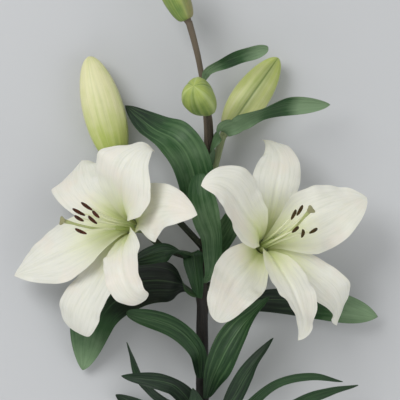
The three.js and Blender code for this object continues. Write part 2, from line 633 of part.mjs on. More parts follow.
const lily = new THREE.Group();
function place(name, geometry, material) {
  const mesh = new THREE.Mesh(geometry, material);
  mesh.name = name;
  lily.add(mesh);
}

place("stem", stemGeometry(), MATERIALS.stem);
for (const [side, bloom] of Object.entries(BLOOMS)) {
  for (const [name, tepal] of Object.entries(bloom.tepals))
    place(side + "_bloom_" + name, tepalGeometry(bloom, tepal), MATERIALS.tepal);
  place(side + "_bloom_pistil", pistilGeometry(bloom), MATERIALS.pistil);
  bloom.stamens.forEach((stamen, i) =>
    place(side + "_bloom_anther_" + (i + 1), antherGeometry(bloom, stamen), MATERIALS.anther),
  );
}
for (const [name, bud] of Object.entries(BUDS)) place("bud_" + name, budGeometry(bud), MATERIALS.bud);
for (const [name, leaf] of Object.entries(LEAVES)) place(name, leafGeometry(leaf), MATERIALS.leaf);
floorLeaves().forEach((leaf, i) => place("leaf_under_" + (i + 1), leafGeometry(leaf), MATERIALS.leaf));

export default lily;
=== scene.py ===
# A cut flowering stem of a white lily, lying down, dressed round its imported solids.
# Shapes are given in millimetres and degrees. Meshes are made in metres, in the frame of the solids.
import math

import bpy
import numpy as np
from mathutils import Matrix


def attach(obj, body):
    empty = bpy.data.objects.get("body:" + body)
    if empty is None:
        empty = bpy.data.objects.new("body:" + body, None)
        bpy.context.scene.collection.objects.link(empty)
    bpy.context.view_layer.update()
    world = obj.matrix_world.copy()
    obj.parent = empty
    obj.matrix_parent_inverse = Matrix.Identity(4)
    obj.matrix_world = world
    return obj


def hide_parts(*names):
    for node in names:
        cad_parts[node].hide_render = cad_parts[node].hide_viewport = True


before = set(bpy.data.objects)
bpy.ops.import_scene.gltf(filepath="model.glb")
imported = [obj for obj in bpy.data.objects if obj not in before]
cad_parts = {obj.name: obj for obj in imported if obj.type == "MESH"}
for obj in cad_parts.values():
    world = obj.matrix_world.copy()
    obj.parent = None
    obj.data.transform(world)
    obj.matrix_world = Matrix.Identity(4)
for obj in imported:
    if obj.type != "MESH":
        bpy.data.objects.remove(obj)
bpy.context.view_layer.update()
print("stage: frame loaded,", len(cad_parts), "solids")

mm = 0.001
rad = math.pi / 180
seatGap = 0.45  # between a piece and what carries it


def vector(values):
    return np.array(values, float)


# Every vector divided by its own length
def unit(vectors):
    return vectors / np.linalg.norm(vectors, axis=-1, keepdims=True)


# 0 below 0, 1 above 1, and 3x^2 - 2x^3 between
def smooth(x):
    x = np.clip(x, 0, 1)
    return x * x * (3 - 2 * x)


# A bell of height 1 at 0, falling to about a third at `width`
def bell(x, width):
    return np.exp(-((x / width) ** 2))


# Shares from 0 to 1, closer together towards both ends: x less a little of one sine wave
def spaced(count):
    x = np.linspace(0, 1, count + 1)
    return x - 0.6 * np.sin(2 * np.pi * x) / (2 * np.pi)


# Places across a blade from -1 to 1, closer together towards the edges: a sine of even steps
def edgeToEdge(count):
    return np.sin(np.linspace(-1, 1, count + 1) * np.pi / 2)[None, :]


def roundAngles(count):
    return np.linspace(0, 2 * np.pi, count, endpoint=False)


# The smooth cubic that passes through values laid evenly from 0 to 1, read at the shares x.
# Each stretch blends the four values nearest to it; past an end the list carries on straight.
def through(values, x):
    values, x = vector(values), vector(x)
    ends = 2 * values[0] - values[1], 2 * values[-1] - values[-2]
    padded = np.concatenate([[ends[0]], values, [ends[1]]])
    u = np.clip(x, 0, 1) * (len(values) - 1)
    i = np.minimum(u.astype(int), len(values) - 2)
    f = u - i
    if values.ndim > 1:
        f = f[..., None]
    a, b, c, d = padded[i], padded[i + 1], padded[i + 2], padded[i + 3]
    return b + f / 2 * (c - a + f * (2 * a - 5 * b + 4 * c - d + f * (3 * b - a - 3 * c + d)))


# Points of a finely laid line, read at x
def readLine(x, places, line):
    return np.stack([np.interp(x, places, line[:, k]) for k in range(3)], -1)


# Points and directions at shares of the length of the smooth line through `points`:
# the running length of a fine copy of the line turns each share into its place
def threadLine(points, shares):
    fine = np.linspace(0, 1, 601)
    track = through(points, fine)
    run = np.concatenate([[0], np.cumsum(np.linalg.norm(np.diff(track, axis=0), axis=1))])
    place = np.interp(np.asarray(shares) * run[-1], run, fine)
    ahead, behind = np.minimum(place + 1e-3, 1), np.maximum(place - 1e-3, 0)
    return through(points, place), unit(through(points, ahead) - through(points, behind))


# Share of the full half-width at s: a product of two powers, 0 at both ends and 1 at `widest`,
# raised to `slimFoot` before that place and to `slimTip` after it
def outline(s, form):
    widest = form["widest"]
    share = (s / widest) ** widest * ((1 - s) / (1 - widest)) ** (1 - widest)
    return share ** np.where(s < widest, form.get("slimFoot", 1), form.get("slimTip", 1.3))


# Keeps a blade's half-width over `tip` and 0.6 more, which ends in a round as a square root does
def blunted(half, s, tip):
    return np.maximum(half, 0.6 * np.sqrt(1 - s**30) + tip)


# Gentle unevenness over two parameters: three slanting sine waves with phases set by `seed`
def uneven(s, t, seed):
    a, b, c = 1.7 * seed, 2.9 * seed + 1, 4.3 * seed + 2
    return (np.sin(5 * s + 2.2 * t + a) + np.sin(9 * s - 3.1 * t + b) + np.sin(3 * s + 4.3 * t + c)) / 3


def addObject(name, data):
    item = bpy.data.objects.new(name, data)
    bpy.context.scene.collection.objects.link(item)
    return item


# Closes rings of points, rings[i, j], into a skin with a pole at each end, facing outwards.
# `marks` are values that the material reads at each point; a pole takes the mean of its ring.
def closedSkin(name, rings, marks, material, nodes):
    rows, sides = rings.shape[:2]
    foot, tip = rows * sides, rows * sides + 1
    points = np.concatenate([rings.reshape(-1, 3), [rings[0].mean(0)], [rings[-1].mean(0)]])
    i, j = np.meshgrid(np.arange(rows - 1), np.arange(sides), indexing="ij")
    k = (j + 1) % sides
    quads = np.stack([i * sides + j, i * sides + k, (i + 1) * sides + k, (i + 1) * sides + j], -1)
    quads = quads.reshape(-1, 4)
    j = np.arange(sides)
    k = (j + 1) % sides
    feet = np.stack([k, j, np.full(sides, foot)], -1)
    tips = np.stack([(rows - 1) * sides + j, (rows - 1) * sides + k, np.full(sides, tip)], -1)
    corners = points[quads] - points.mean(0)
    square = np.cross(corners[:, 2] - corners[:, 0], corners[:, 3] - corners[:, 1])
    if np.einsum("ij,ij->", square, corners[:, 0]) < 0:  # the volume, negative when inside out
        quads, feet, tips = quads[:, ::-1], feet[:, ::-1], tips[:, ::-1]
    mesh = bpy.data.meshes.new(name)
    mesh.from_pydata((points * mm).tolist(), [], quads.tolist() + feet.tolist() + tips.tolist())
    for mark, values in marks.items():
        values = np.broadcast_to(values, rings.shape[:2] + np.shape(values)[2:])
        ends = [values[0].mean(0)], [values[-1].mean(0)]
        flat = np.concatenate([values.reshape((foot,) + values.shape[2:]), *ends]).astype(np.float32)
        if flat.ndim > 1:
            mesh.attributes.new(mark, "FLOAT_VECTOR", "POINT").data.foreach_set("vector", flat.ravel())
        else:
            mesh.attributes.new(mark, "FLOAT", "POINT").data.foreach_set("value", flat)
    mesh.shade_smooth()
    mesh.materials.append(material)
    piece = addObject(name, mesh)
    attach(piece, "root")
    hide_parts(*nodes)


# The arc across a blade, with `cup` for its half-angle: how far each place lies sideways, the sine
# of cup times t, and inwards, 1 less the cosine, both times the half-width over cup
def arc(wide, cup, t):
    return wide * np.sin(cup * t) / cup, wide * (1 - np.cos(cup * t)) / cup


# A blade's middle surface: each point of the rib, moved sideways and inwards
def bladeMiddle(rib, side, normal, sideways, inwards):
    return rib[:, None] + side[:, None] * sideways[..., None] + normal[:, None] * inwards[..., None]


# The values of a grid carried round a blade's rings, front then rear
def roundBlade(values):
    return np.concatenate([values, values[:, -2:0:-1]], axis=1)


# A blade from a grid of middle points: each ring runs over the front from edge to edge and back
# under the rear. Both faces stand off the middle by half the thickness times a rounded profile.
def bladeRings(middle, t, thick):
    down, over = np.gradient(middle, axis=0), np.gradient(middle, axis=1)
    normal = unit(np.cross(over, down))
    lift = (thick / 2 * np.sqrt(np.clip(1 - t**4, 0, 1)))[..., None]
    front, back = middle + normal * lift, middle - normal * lift
    return np.concatenate([front, back[:, -2:0:-1]], axis=1)


# Marks of a blade: places along and across it, its face, 1 on the upper and 0 on the rear one, and
# streak coordinates. `front` is the value for the face that bladeRings lays first.
def bladeMarks(s, t, seed, front):
    grain = np.stack(np.broadcast_arrays(t, float(seed), 3 * s[:, None]), -1)
    face = np.full(2 * t.shape[1] - 2, 1.0 - front)
    face[: t.shape[1]] = front
    face[[0, t.shape[1] - 1]] = 0.5
    return {"along": s[:, None], "across": roundBlade(t), "face": face[None], "grain": roundBlade(grain)}


# A tube down a line: each ring is a circle across the line, scaled by `radius` for each point.
# `upright` is a direction that the line never takes; the rings begin square to it.
def tubeRings(points, ways, radius, angle, upright=(0, 0, 1)):
    side = unit(np.cross(ways, upright))
    other = np.cross(side, ways)
    radius = np.broadcast_to(radius, (len(points), len(angle)))[..., None]
    circle = side[:, None] * np.cos(angle)[:, None] + other[:, None] * np.sin(angle)[:, None]
    return points[:, None] + radius * circle


# Marks of a tube: streak coordinates that close on themselves round it and run to `grainEnd`
# along it, the share along it, and the tone
def tubeMarks(s, angle, grainEnd, tone):
    grain = np.stack(np.broadcast_arrays(np.cos(angle), np.sin(angle), grainEnd * s[:, None]), -1)
    return {"grain": grain, "along": s[:, None], "tone": through(tone, s)[:, None]}


# A colour written as red, green and blue in hexadecimal, as the shader wants it
def tint(code):
    parts = [int(code[i : i + 2], 16) / 255 for i in (0, 2, 4)]
    return [p / 12.92 if p < 0.04045 else ((p + 0.055) / 1.055) ** 2.4 for p in parts] + [1]


# Lays one shader node; each input is a plain value or another node's output
def lay(tree, kind, inputs=None, **fields):
    node = tree.nodes.new("ShaderNode" + kind)
    for field, value in fields.items():
        setattr(node, field, value)
    for socket, value in (inputs or {}).items():
        if isinstance(value, bpy.types.NodeSocket):
            tree.links.new(value, node.inputs[socket])
        else:
            node.inputs[socket].default_value = value
    return node


def calc(tree, operation, a, b=0.0, c=0.0):
    return lay(tree, "Math", {0: a, 1: b, 2: c}, operation=operation).outputs[0]


def times(tree, a, b):
    return calc(tree, "MULTIPLY", a, b)


# a times b, plus c
def timesPlus(tree, a, b, c):
    return calc(tree, "MULTIPLY_ADD", a, b, c)


# Moves `start` up and down by `width` times how far `value` is from its middle, 0.5
def jittered(tree, start, value, width):
    return timesPlus(tree, calc(tree, "SUBTRACT", value, 0.5), width, start)


# 0 to 1 as value runs from low to high
def rise(tree, value, low, high):
    inputs = {"Value": value, "From Min": low, "From Max": high}
    return lay(tree, "MapRange", inputs, interpolation_type="SMOOTHSTEP").outputs[0]


def mark(tree, name, output="Fac"):
    return lay(tree, "Attribute", attribute_name=name, attribute_type="GEOMETRY").outputs[output]


# Sockets 6 and 7 of the node are its colours, and output 2 is the colour between them
def blendColour(tree, factor, a, b):
    return lay(tree, "Mix", {0: factor, 6: a, 7: b}, data_type="RGBA").outputs[2]


# Lays colours of `finish` over `body` one after another. A coat is a colour, its strength and the
# factors of its share: values, or a value with the two places between which it goes from 0 to 1.
def coated(tree, body, finish, *coats):
    for code, share, *factors in coats:
        for factor in factors:
            share = times(tree, rise(tree, *factor) if isinstance(factor, tuple) else factor, share)
        body = blendColour(tree, share, body, tint(finish[code]))
    return body


def colourRamp(tree, value, stops):
    ramp = lay(tree, "ValToRGB", {"Fac": value})
    band = ramp.color_ramp.elements
    while len(band) < len(stops):
        band.new(0.5)
    for element, (place, code) in zip(band, stops):
        element.position = place
        element.color = tint(code)
    return ramp.outputs[0]


def noise(tree, coordinates, scale, detail, rough):
    inputs = {"Vector": coordinates, "Scale": scale, "Detail": detail, "Roughness": rough}
    return lay(tree, "TexNoise", inputs).outputs["Fac"]


# Noise on a piece's own streak coordinates, `scale` times as fine along each of the three
def streaks(tree, scale, detail=3.0, rough=0.55):
    grain = lay(tree, "Mapping", {"Vector": mark(tree, "grain", "Vector"), "Scale": scale})
    return noise(tree, grain.outputs[0], 1, detail, rough)


# Noise on Object coordinates, which are metres
def clouded(tree, scale, detail=3.0, rough=0.55):
    return noise(tree, lay(tree, "TexCoord").outputs["Object"], scale, detail, rough)


def emptyMaterial(name):
    material = bpy.data.materials.new(name)
    material.use_nodes = True
    material.node_tree.nodes.clear()
    return material, material.node_tree


# Light that soaks in: its share, and how deep red, green and blue go
def soaking(share, *depths):
    radius = [depth * mm for depth in depths]
    return {"Subsurface Weight": share, "Subsurface Radius": radius, "Subsurface Scale": 1.0}


# Ends a material: the surface shader with its fixed values, its colour, roughness and relief
def finishMaterial(tree, colour, roughness, height, relief, fixed):
    bump = lay(tree, "Bump", {"Height": height, "Strength": 1.0, "Distance": relief * mm})
    inputs = {"Base Color": colour, "Roughness": roughness, "Normal": bump.outputs[0], **fixed}
    surface = lay(tree, "BsdfPrincipled", inputs)
    lay(tree, "OutputMaterial", {"Surface": surface.outputs[0]})


petalFinish = {
    "white": "eae9db", "shade": "dadbca", "warm": "ede2d3", "throat": "dae1a4", "deep": "b3c272",
    "midrib": "dadfb8", "roughness": 0.5, "softness": 0.22, "relief": 0.12,
}


# Petal skin: faint streaks that fan from foot to tip, warm clouds, a yellow-green throat that
# fades up the blade in uneven streaks, deepest at the foot, and a fine crinkled relief
def petalMaterial(name, finish, throatReach, ribReach):
    material, tree = emptyMaterial(name)
    off = calc(tree, "ABSOLUTE", mark(tree, "across"))
    streak, veins = streaks(tree, (9, 9, 1.3), 4, 0.6), streaks(tree, (24, 24, 1.1), 2, 0.5)
    ragged = timesPlus(tree, streak, 0.3, timesPlus(tree, off, 0.12, mark(tree, "along")))
    body = blendColour(tree, rise(tree, streak, 0.4, 0.8), tint(finish["white"]), tint(finish["shade"]))
    body = coated(
        tree, body, finish,
        ("warm", 0.6, (clouded(tree, 32), 0.45, 0.7)),
        ("shade", 0.25, (veins, 0.45, 0.75)),
        ("throat", 0.8, (ragged, throatReach + 0.22, 0.24)),
        ("midrib", 0.25, (off, 0.16, 0.0), (ragged, ribReach + 0.15, 0.25)),
        ("deep", 0.55, (ragged, throatReach, 0.2), (off, 1.2, 0.0)),
        ("throat", 0.4, (mark(tree, "face"), 0.6, 0.2), (off, 0.16, 0.02)),
    )
    height = timesPlus(tree, clouded(tree, 700, 2), 0.5, timesPlus(tree, veins, 0.8, streak))
    roughness = timesPlus(tree, streak, 0.2, finish["roughness"] - 0.1)
    fixed = {
        **soaking(finish["softness"], 4, 3.5, 2.2),
        "Specular IOR Level": 0.3, "Sheen Weight": 0.05, "Sheen Roughness": 0.5,
    }
    finishMaterial(tree, body, roughness, height, finish["relief"], fixed)
    return material


innerSkin = petalMaterial("petal_skin", petalFinish, throatReach=0.55, ribReach=0.66)
outerSkin = petalMaterial("sepal_skin", petalFinish, throatReach=0.47, ribReach=0.55)

# Common form of the three inner and three outer tepals of a bloom
petal = {"foot": 4.2, "ring": 4.6, "furrow": 0.9, "wave": 1.2, "skin": innerSkin}
sepal = {"foot": 5.2, "ring": 6.5, "furrow": 0.5, "wave": 1, "skin": outerSkin}

# Tepals leave the bloom at `turn` round its axis. From foot to tip, `open` is the angle from the
# axis, `sway` the swing sideways, `twist` the roll about the midrib and `cup` the bend across;
# `left` and `right` scale the outline's two halves, and `wave` ruffles the edge. A stamen's anther
# `lies` along its own direction. `olive` is how much olive the bloom's anthers have.
leftBloom = {
    "base": [-48, 18, 50],
    "axis": [-0.72, 0.1, 0.69],
    "tepals": {
        "petal_top": dict(
            petal, turn=333.1, length=94.7, half=27.1, widest=0.51, slimTip=2.6, wave=1.5, seed=1,
            open=[10, 40, 52, 63, 103, 147, 221], sway=[-9, -9, -8, -2, 10, 1], twist=[16, 4, 8, 4, 8],
            cup=[14, 22, -1, 20], left=[0.9, 1.15, 1.24, 1.2, 1.02, 0.94, 0.99],
            right=[0.83, 0.85, 0.97, 1.05, 1.15, 0.9, 0.95],
        ),
        "petal_side": dict(
            petal, turn=110.3, length=107.3, half=22, widest=0.42, slimTip=1.65, seed=2,
            open=[10, 44, 67, 74, 80, 82, 92], sway=[20, 15, 8, 4, -2, 0], twist=[-2, -7, -13, -8, 5],
            cup=[19, 29, 21, 22], left=[0.93, 1.04, 1, 0.98, 0.95, 0.94, 1],
            right=[1.06, 0.94, 0.93, 1.05, 0.98, 0.99, 0.94],
        ),
        "petal_low": dict(
            petal, turn=206.3, length=86.4, half=16.2, widest=0.65, slimTip=1.31, wave=1.4, seed=3,
            open=[21, 44, 46, 68, 95, 135, 187], sway=[8, 25, 15, 1, -10, -12],
            twist=[-1, -9, -13, -17, -22], cup=[11, 10, 15, -6],
            left=[1.03, 1.23, 1.07, 0.97, 0.93, 1, 1.07], right=[1.01, 1.12, 1.25, 1.1, 0.81, 0.72, 0.94],
        ),
        "sepal_upper": dict(
            sepal, turn=48.2, length=88.7, half=19.9, widest=0.57, slimTip=1.51, seed=4,
            open=[30, 44, 60, 90, 115, 128, 138], sway=[3, 8, 4, 0, -1, -2], twist=[-13, 5, 28, 30, 10],
            cup=[39, 22, -4, -46], left=[0.89, 0.92, 0.97, 1.06, 1.06, 1.04, 0.97],
            right=[1.01, 0.92, 0.91, 1.01, 1.16, 1.12, 1.01],
        ),
        "sepal_low": dict(
            sepal, turn=164.2, length=94.1, half=17.7, widest=0.74, slimTip=1.54, seed=5,
            open=[24, 62, 78, 80, 87, 109, 137], sway=[0, -3, -10, -14, -15, -12],
            twist=[1, 2, -11, -19, -13], cup=[26, 8, 3, 6], left=[1.04, 0.99, 1.01, 1.06, 1.02],
            right=[1.15, 1.14, 1, 1, 0.99],
        ),
        "sepal_near": dict(
            sepal, turn=280.7, length=83.2, half=17.7, widest=0.58, slimTip=1.93, seed=6,
            open=[27, 59, 71, 81, 92, 111, 136], sway=[-3, 8, 4, -4, -18, -33], twist=[0, -2, -7, -20, -42],
            cup=[39, 11, -5, -4], left=[0.9, 0.71, 1.12, 1.4, 1.11, 0.97, 0.99],
            right=[1.23, 1.45, 1.31, 1.14, 1.03, 0.97, 0.91],
        ),
    },
    "stamens": [
        dict(turn=350, lean=10.8, lies=[0.55, -0.36, 0.76]),
        dict(turn=42, lean=8.1, lies=[0.62, -0.32, 0.72]),
        dict(turn=69, lean=3.8, lies=[0.46, -0.25, 0.85]),
        dict(turn=275, lean=9.7, lies=[0.43, -0.35, 0.83]),
        dict(turn=166, lean=7.3, lies=[0.57, -0.23, 0.79]),
        dict(turn=292, lean=13.7, lies=[0.34, -0.31, 0.89]),
    ],
    "pistil": {"turn": 97, "lean": 7, "bend": [0, -4, 0]},
    "olive": 0.1,
}
rightBloom = {
    "base": [48, 3, 50],
    "axis": [0.55, 0.34, 0.76],
    "tepals": {
        "petal_upper": dict(
            petal, turn=59.7, length=94, half=22, widest=0.58, slimTip=2.07, seed=7,
            open=[13, 42, 59, 59, 66, 96, 148], sway=[-4, 5, 4, -8, 2, 34], twist=[-5, -15, -7, -4, 8],
            cup=[19, 27, 16, 16], left=[0.82, 0.88, 1.05, 1.08, 1.03], right=[1.1, 1.12, 0.98, 0.9, 0.98],
        ),
        "petal_side": dict(
            petal, turn=291, length=89.3, half=23.4, widest=0.56, slimTip=2.09, seed=8,
            open=[11, 42, 46, 54, 66, 74, 87], sway=[0, -6, -4, -2, -3, -7], twist=[-9, 4, -6, -20, -28],
            cup=[33, 19, 19, 39], left=[1.29, 1.12, 1.06, 1.06, 1.1], right=[1.23, 1.14, 1.04, 0.99, 1.03],
        ),
        "petal_low": dict(
            petal, turn=169.5, length=103.6, half=16.3, widest=0.5, slimTip=1.79, wave=1.4, seed=9,
            open=[8, 47, 59, 62, 70, 73, 114], sway=[-12, -3, 6, 1, -4, -32], twist=[1, 7, 9, -4, -10],
            cup=[45, 35, 17, 26], left=[0.95, 1.01, 1.1, 0.97, 1.04, 1.05, 1.16],
            right=[0.74, 0.87, 0.96, 1, 1.09, 0.97, 1.18],
        ),
        "sepal_top": dict(
            sepal, turn=350.3, length=95.5, half=17.9, widest=0.48, slimTip=2.27, seed=10,
            open=[27, 56, 75, 83, 98, 124, 153], sway=[-1, -3, -9, -14, 2, 27], twist=[3, -1, -19, -21, -7],
            cup=[24, 7, -2, -8], left=[0.96, 0.93, 1.03, 1.05, 1.01], right=[0.99, 1.06, 1.04, 0.99, 1.02],
        ),
        "sepal_near": dict(
            sepal, turn=118.5, length=87.6, half=19.6, widest=0.52, slimTip=1.01, seed=11,
            open=[26, 74, 81, 83, 84, 98, 104], sway=[12, 11, 8, 14, 23, 31], twist=[-2, -1, 7, 3, -5],
            cup=[20, 11, 11, 3], left=[0.97, 1.08, 1.03, 1.02, 1.06], right=[0.83, 1.09, 1.01, 0.93, 0.96],
        ),
        "sepal_low": dict(
            sepal, turn=226.6, length=94.6, half=15.2, widest=0.63, slimTip=2.66, seed=12,
            open=[27, 62, 79, 87, 111, 139, 139], sway=[5, -5, -3, 2, -4, -12], twist=[0, 13, 23, 9, 0],
            cup=[30, 16, 39, -21], left=[1.03, 0.85, 0.89, 0.99, 0.85, 0.87, 1.02],
            right=[0.84, 1.01, 1.04, 1.07, 1.09, 1.01, 0.99],
        ),
    },
    "stamens": [
        dict(turn=22, lean=8.2, lies=[0.25, 0.45, -0.86]),
        dict(turn=341, lean=12.4, lies=[0.3, 0.48, -0.83]),
        dict(turn=125, lean=5.5, lies=[0.32, 0.25, -0.91]),
        dict(turn=182, lean=5.8, lies=[0.09, 0.35, -0.93]),
        dict(turn=251, lean=13.5, lies=[0.4, 0.21, -0.89]),
        dict(turn=308, lean=22.5, lies=[0.03, 0.06, -1]),
    ],
    "pistil": {"turn": 345.5, "lean": 6.7, "bend": [2, -2.5, 0]},
    "olive": 0.6,
}
blooms = {"left": leftBloom, "right": rightBloom}


# The bloom's axis, and the directions outwards and round it at `turn`
def bloomWays(bloom, turn):
    axis = unit(vector(bloom["axis"]))
    up = unit(np.array([0, 1, 0]) - axis * axis[1])
    aside = np.cross(axis, up)
    out = up * math.cos(turn * rad) + aside * math.sin(turn * rad)
    return axis, out, np.cross(axis, out)


# Directions along, across and square to a tepal at shares s. The way along is cos(open) of the
# axis plus sin(open) of the outward way, which itself swings by `sway`; `twist` then rolls it.
def tepalHeading(bloom, form, s):
    axis, out, about = bloomWays(bloom, form["turn"])
    open_, sway, twist = (through(form[key], s)[:, None] * rad for key in ("open", "sway", "twist"))
    away = out * np.cos(sway) + about * np.sin(sway)
    side = about * np.cos(sway) - out * np.sin(sway)
    way = axis * np.cos(open_) + away * np.sin(open_)
    normal = axis * np.sin(open_) - away * np.cos(open_)
    return way, side * np.cos(twist) + normal * np.sin(twist), normal * np.cos(twist) - side * np.sin(twist)


# What all tepals share: grid steps, thickness at the foot and the tip and how much of it goes
# towards the edges, `ruffles` along each edge, `shift` degrees apart on the two, the furrow's
# width, the low ridges beside it, slow unevenness, and fine veins
tepalForm = dict(
    along=96, across=40, thickFoot=0.95, thickTip=0.55, thinEdge=0.45, ruffles=3, shift=126,
    furrowWidth=1.6, ridge=0.35, ridgeAt=3.4, unevenness=0.55, veins=26, veinHeight=0.07,
)


# A tepal's middle surface over s, foot to tip, and t, edge to edge. The midrib is the running sum
# of the ways along. Across, the section is an arc of half-angle `cup`, which near the foot takes
# the ring's own radius. Added square to it: waves that grow with |t|^2.5, a bell-shaped furrow
# down the midrib with a low ridge each side, a slow unevenness, and veins, a cosine of t.
def tepalSurface(bloom, form, s, t):
    axis, out, _ = bloomWays(bloom, form["turn"])
    fine = np.linspace(0, 1, 1201)
    ways = tepalHeading(bloom, form, fine)[0]
    steps = (ways[1:] + ways[:-1]) / 2 * form["length"] / (len(fine) - 1)
    track = np.concatenate([np.zeros((1, 3)), np.cumsum(steps, axis=0)]) + out * form["ring"]
    rib = readLine(s, fine, track)
    reach = np.linalg.norm(rib - (rib @ axis)[:, None] * axis, axis=1)
    _, side, normal = tepalHeading(bloom, form, s)
    foot = form["foot"] * np.clip(1 - 2.5 * s, 0, 1) ** 2
    half = blunted(form["half"] * outline(s, form) + foot, s, 0.1)
    half = np.minimum(half, 0.88 * reach)  # neighbours stay apart at the ring
    wrap = smooth((0.5 - s) / 0.3)
    cup = through(form["cup"], s) * rad * (1 - wrap) + wrap * half / reach
    cup = np.where(np.abs(cup) < 1e-3, 1e-3, cup)[:, None]
    left, right = (through([1, *form[edge]], s)[:, None] for edge in ("left", "right"))
    wide = half[:, None] * np.maximum(np.where(t < 0, left, right), 0.2)
    sideways, inwards = arc(wide, cup, t)
    fade = (smooth((s - 0.2) / 0.3) * smooth((1 - s) / 0.2))[:, None]
    turns = tepalForm["ruffles"] * 360 * s[:, None] * rad + np.where(t > 0, tepalForm["shift"] * rad, 0)
    ruffle = form["wave"] * fade * (np.sin(turns) + 0.45 * np.sin(2.3 * turns + form["seed"]))
    inwards += ruffle * np.abs(t) ** 2.5
    furrow = form["furrow"] * (smooth(s / 0.08) * smooth((0.97 - s) / 0.35))[:, None]
    inwards -= furrow * bell(t * wide, tepalForm["furrowWidth"])
    beside = np.abs(t * wide) - tepalForm["ridgeAt"]
    inwards += tepalForm["ridge"] * furrow * bell(beside, tepalForm["furrowWidth"])
    inwards += tepalForm["unevenness"] * fade * uneven(s[:, None] * 1.6, t, form["seed"])
    inwards += tepalForm["veinHeight"] * fade * np.cos(tepalForm["veins"] * t + form["seed"]) * (1 - t**2)
    return bladeMiddle(vector(bloom["base"]) + rib, side, normal, sideways, inwards)


def makeTepal(name, bloom, form):
    s, t = spaced(tepalForm["along"]), edgeToEdge(tepalForm["across"])
    middle = tepalSurface(bloom, form, s, t)
    thick = tepalForm["thickFoot"] + (tepalForm["thickTip"] - tepalForm["thickFoot"]) * s[:, None]
    rings = bladeRings(middle, t, thick * (1 - tepalForm["thinEdge"] * t**2))
    marks = bladeMarks(s, t, form["seed"], 0)
    closedSkin(name + "_skin", rings, marks, form["skin"], [name])


for place, bloom in blooms.items():
    for part, form in bloom["tepals"].items():
        makeTepal(f"{place}_bloom_{part}", bloom, form)
print("stage: tepals made")

rodFinish = {
    "pistil": {"low": "b3c27c", "high": "b2ba80", "top": "93916a"},
    "filament": {"low": "b3c27c", "high": "e4e7c6", "top": "e4e7c6"},
}
antherFinish = {"dark": "2b120c", "rust": "552a1d", "pollen": "6e3d2a", "olive": "45421c"}


# A rod's skin: pale green that lightens upwards to the colour of its top, with fine streaks
def rodMaterial(name, finish):
    material, tree = emptyMaterial(name)
    streak = streaks(tree, (3, 3, 1))
    stops = [(0.08, finish["low"]), (0.55, finish["high"]), (0.97, finish["high"]), (1.0, finish["top"])]
    body = colourRamp(tree, timesPlus(tree, streak, 0.12, mark(tree, "along")), stops)
    body = coated(tree, body, finish, ("low", 0.35, (streak, 0.5, 0.8)))
    height = calc(tree, "ADD", streak, clouded(tree, 1500, 2))
    roughness = timesPlus(tree, streak, 0.2, 0.28)
    finishMaterial(tree, body, roughness, height, relief=0.1, fixed=soaking(0.15, 2, 2, 1))
    return material


# Anther skin: dark red-brown with lighter grains of pollen, and olive by the tone mark
def antherMaterial(name, finish):
    material, tree = emptyMaterial(name)
    crumb = clouded(tree, 1900, 4, 0.7)
    body = colourRamp(tree, clouded(tree, 380), [(0.36, finish["dark"]), (0.66, finish["rust"])])
    body = coated(tree, body, finish, ("pollen", 1, (crumb, 0.52, 0.7)), ("olive", 1, mark(tree, "tone")))
    roughness = timesPlus(tree, crumb, 0.2, 0.72)
    finishMaterial(tree, body, roughness, crumb, relief=0.35, fixed={"Specular IOR Level": 0.2})
    return material


pistilSkin = rodMaterial("pistil_skin", rodFinish["pistil"])
filamentSkin = rodMaterial("filament_skin", rodFinish["filament"])
pollenSkin = antherMaterial("anther_skin", antherFinish)


# Three points of a rod that stands on the bloom's base, `start` from its axis: at its foot,
# halfway up, moved by `bend`, and at its top, which leans outwards by `lean`
def rodLine(bloom, rod, length, start):
    axis, out, _ = bloomWays(bloom, rod["turn"])
    far, high = length * math.sin(rod["lean"] * rad), length * math.cos(rod["lean"] * rad)
    stops = [(start, 0), (start + far * 0.35, high * 0.5), (start + far, high)]
    line = [vector(bloom["base"]) + out * reach + axis * (lift + seatGap) for reach, lift in stops]
    line[1] = line[1] + vector(rod.get("bend", [0, 0, 0]))
    return line


# Radii of the pistil's parts are the ovary's, less `narrowing` for the style, plus `thickening`
# towards its top, plus `flare` for the stigma
pistilForm = {
    "length": 66, "ovary": 2.3, "narrowing": 1.35, "thickening": 0.6, "flare": 1.5,
    "ovaryLobes": 0.13, "stigmaLobes": 0.24, "dimple": 0.9, "sides": 36, "grainEnd": 3.3,
}


# The pistil: a tube with a radius of smooth steps, rounded at its top by a square root, with
# three lobes, a cosine of three times the angle, on the ovary and the stigma, and a dimple on top
def makePistil(name, bloom, form):
    s = np.concatenate([np.linspace(0, 0.9, 60), np.linspace(0.905, 1, 26)])
    points, ways = threadLine(rodLine(bloom, bloom["pistil"], form["length"], 0), s)
    top = smooth((s - 0.965) / 0.035)
    radius = form["ovary"] - form["narrowing"] * smooth((s - 0.18) / 0.12)
    radius = radius + form["thickening"] * smooth((s - 0.8) / 0.12)
    radius = radius + form["flare"] * smooth((s - 0.925) / 0.045)
    radius = radius * np.sqrt(np.clip(1 - top**2 * 0.97, 0, 1))
    lobes = form["ovaryLobes"] * smooth((0.3 - s) / 0.1)
    lobes = lobes + form["stigmaLobes"] * smooth((s - 0.92) / 0.04)
    angle = roundAngles(form["sides"])
    radius = radius[:, None] * (1 + lobes[:, None] * np.cos(3 * angle))
    rings = tubeRings(points, ways, radius, angle, (1, 0.2, 0))
    rings = rings - form["dimple"] * top[:, None, None] * ways[:, None]
    marks = tubeMarks(s, angle, form["grainEnd"], [0, 1])
    closedSkin(name + "_skin", rings, marks, pistilSkin, [name])


# Filaments stand on a ring round the pistil. `into` carries the end into its anther.
filamentForm = {
    "length": 48.5, "ring": 1.6, "radius": 0.95, "taper": 0.3, "point": 0.3, "foot": 0.5, "into": 1.0,
    "rings": 41, "sides": 14, "grainEnd": 2.4,
}


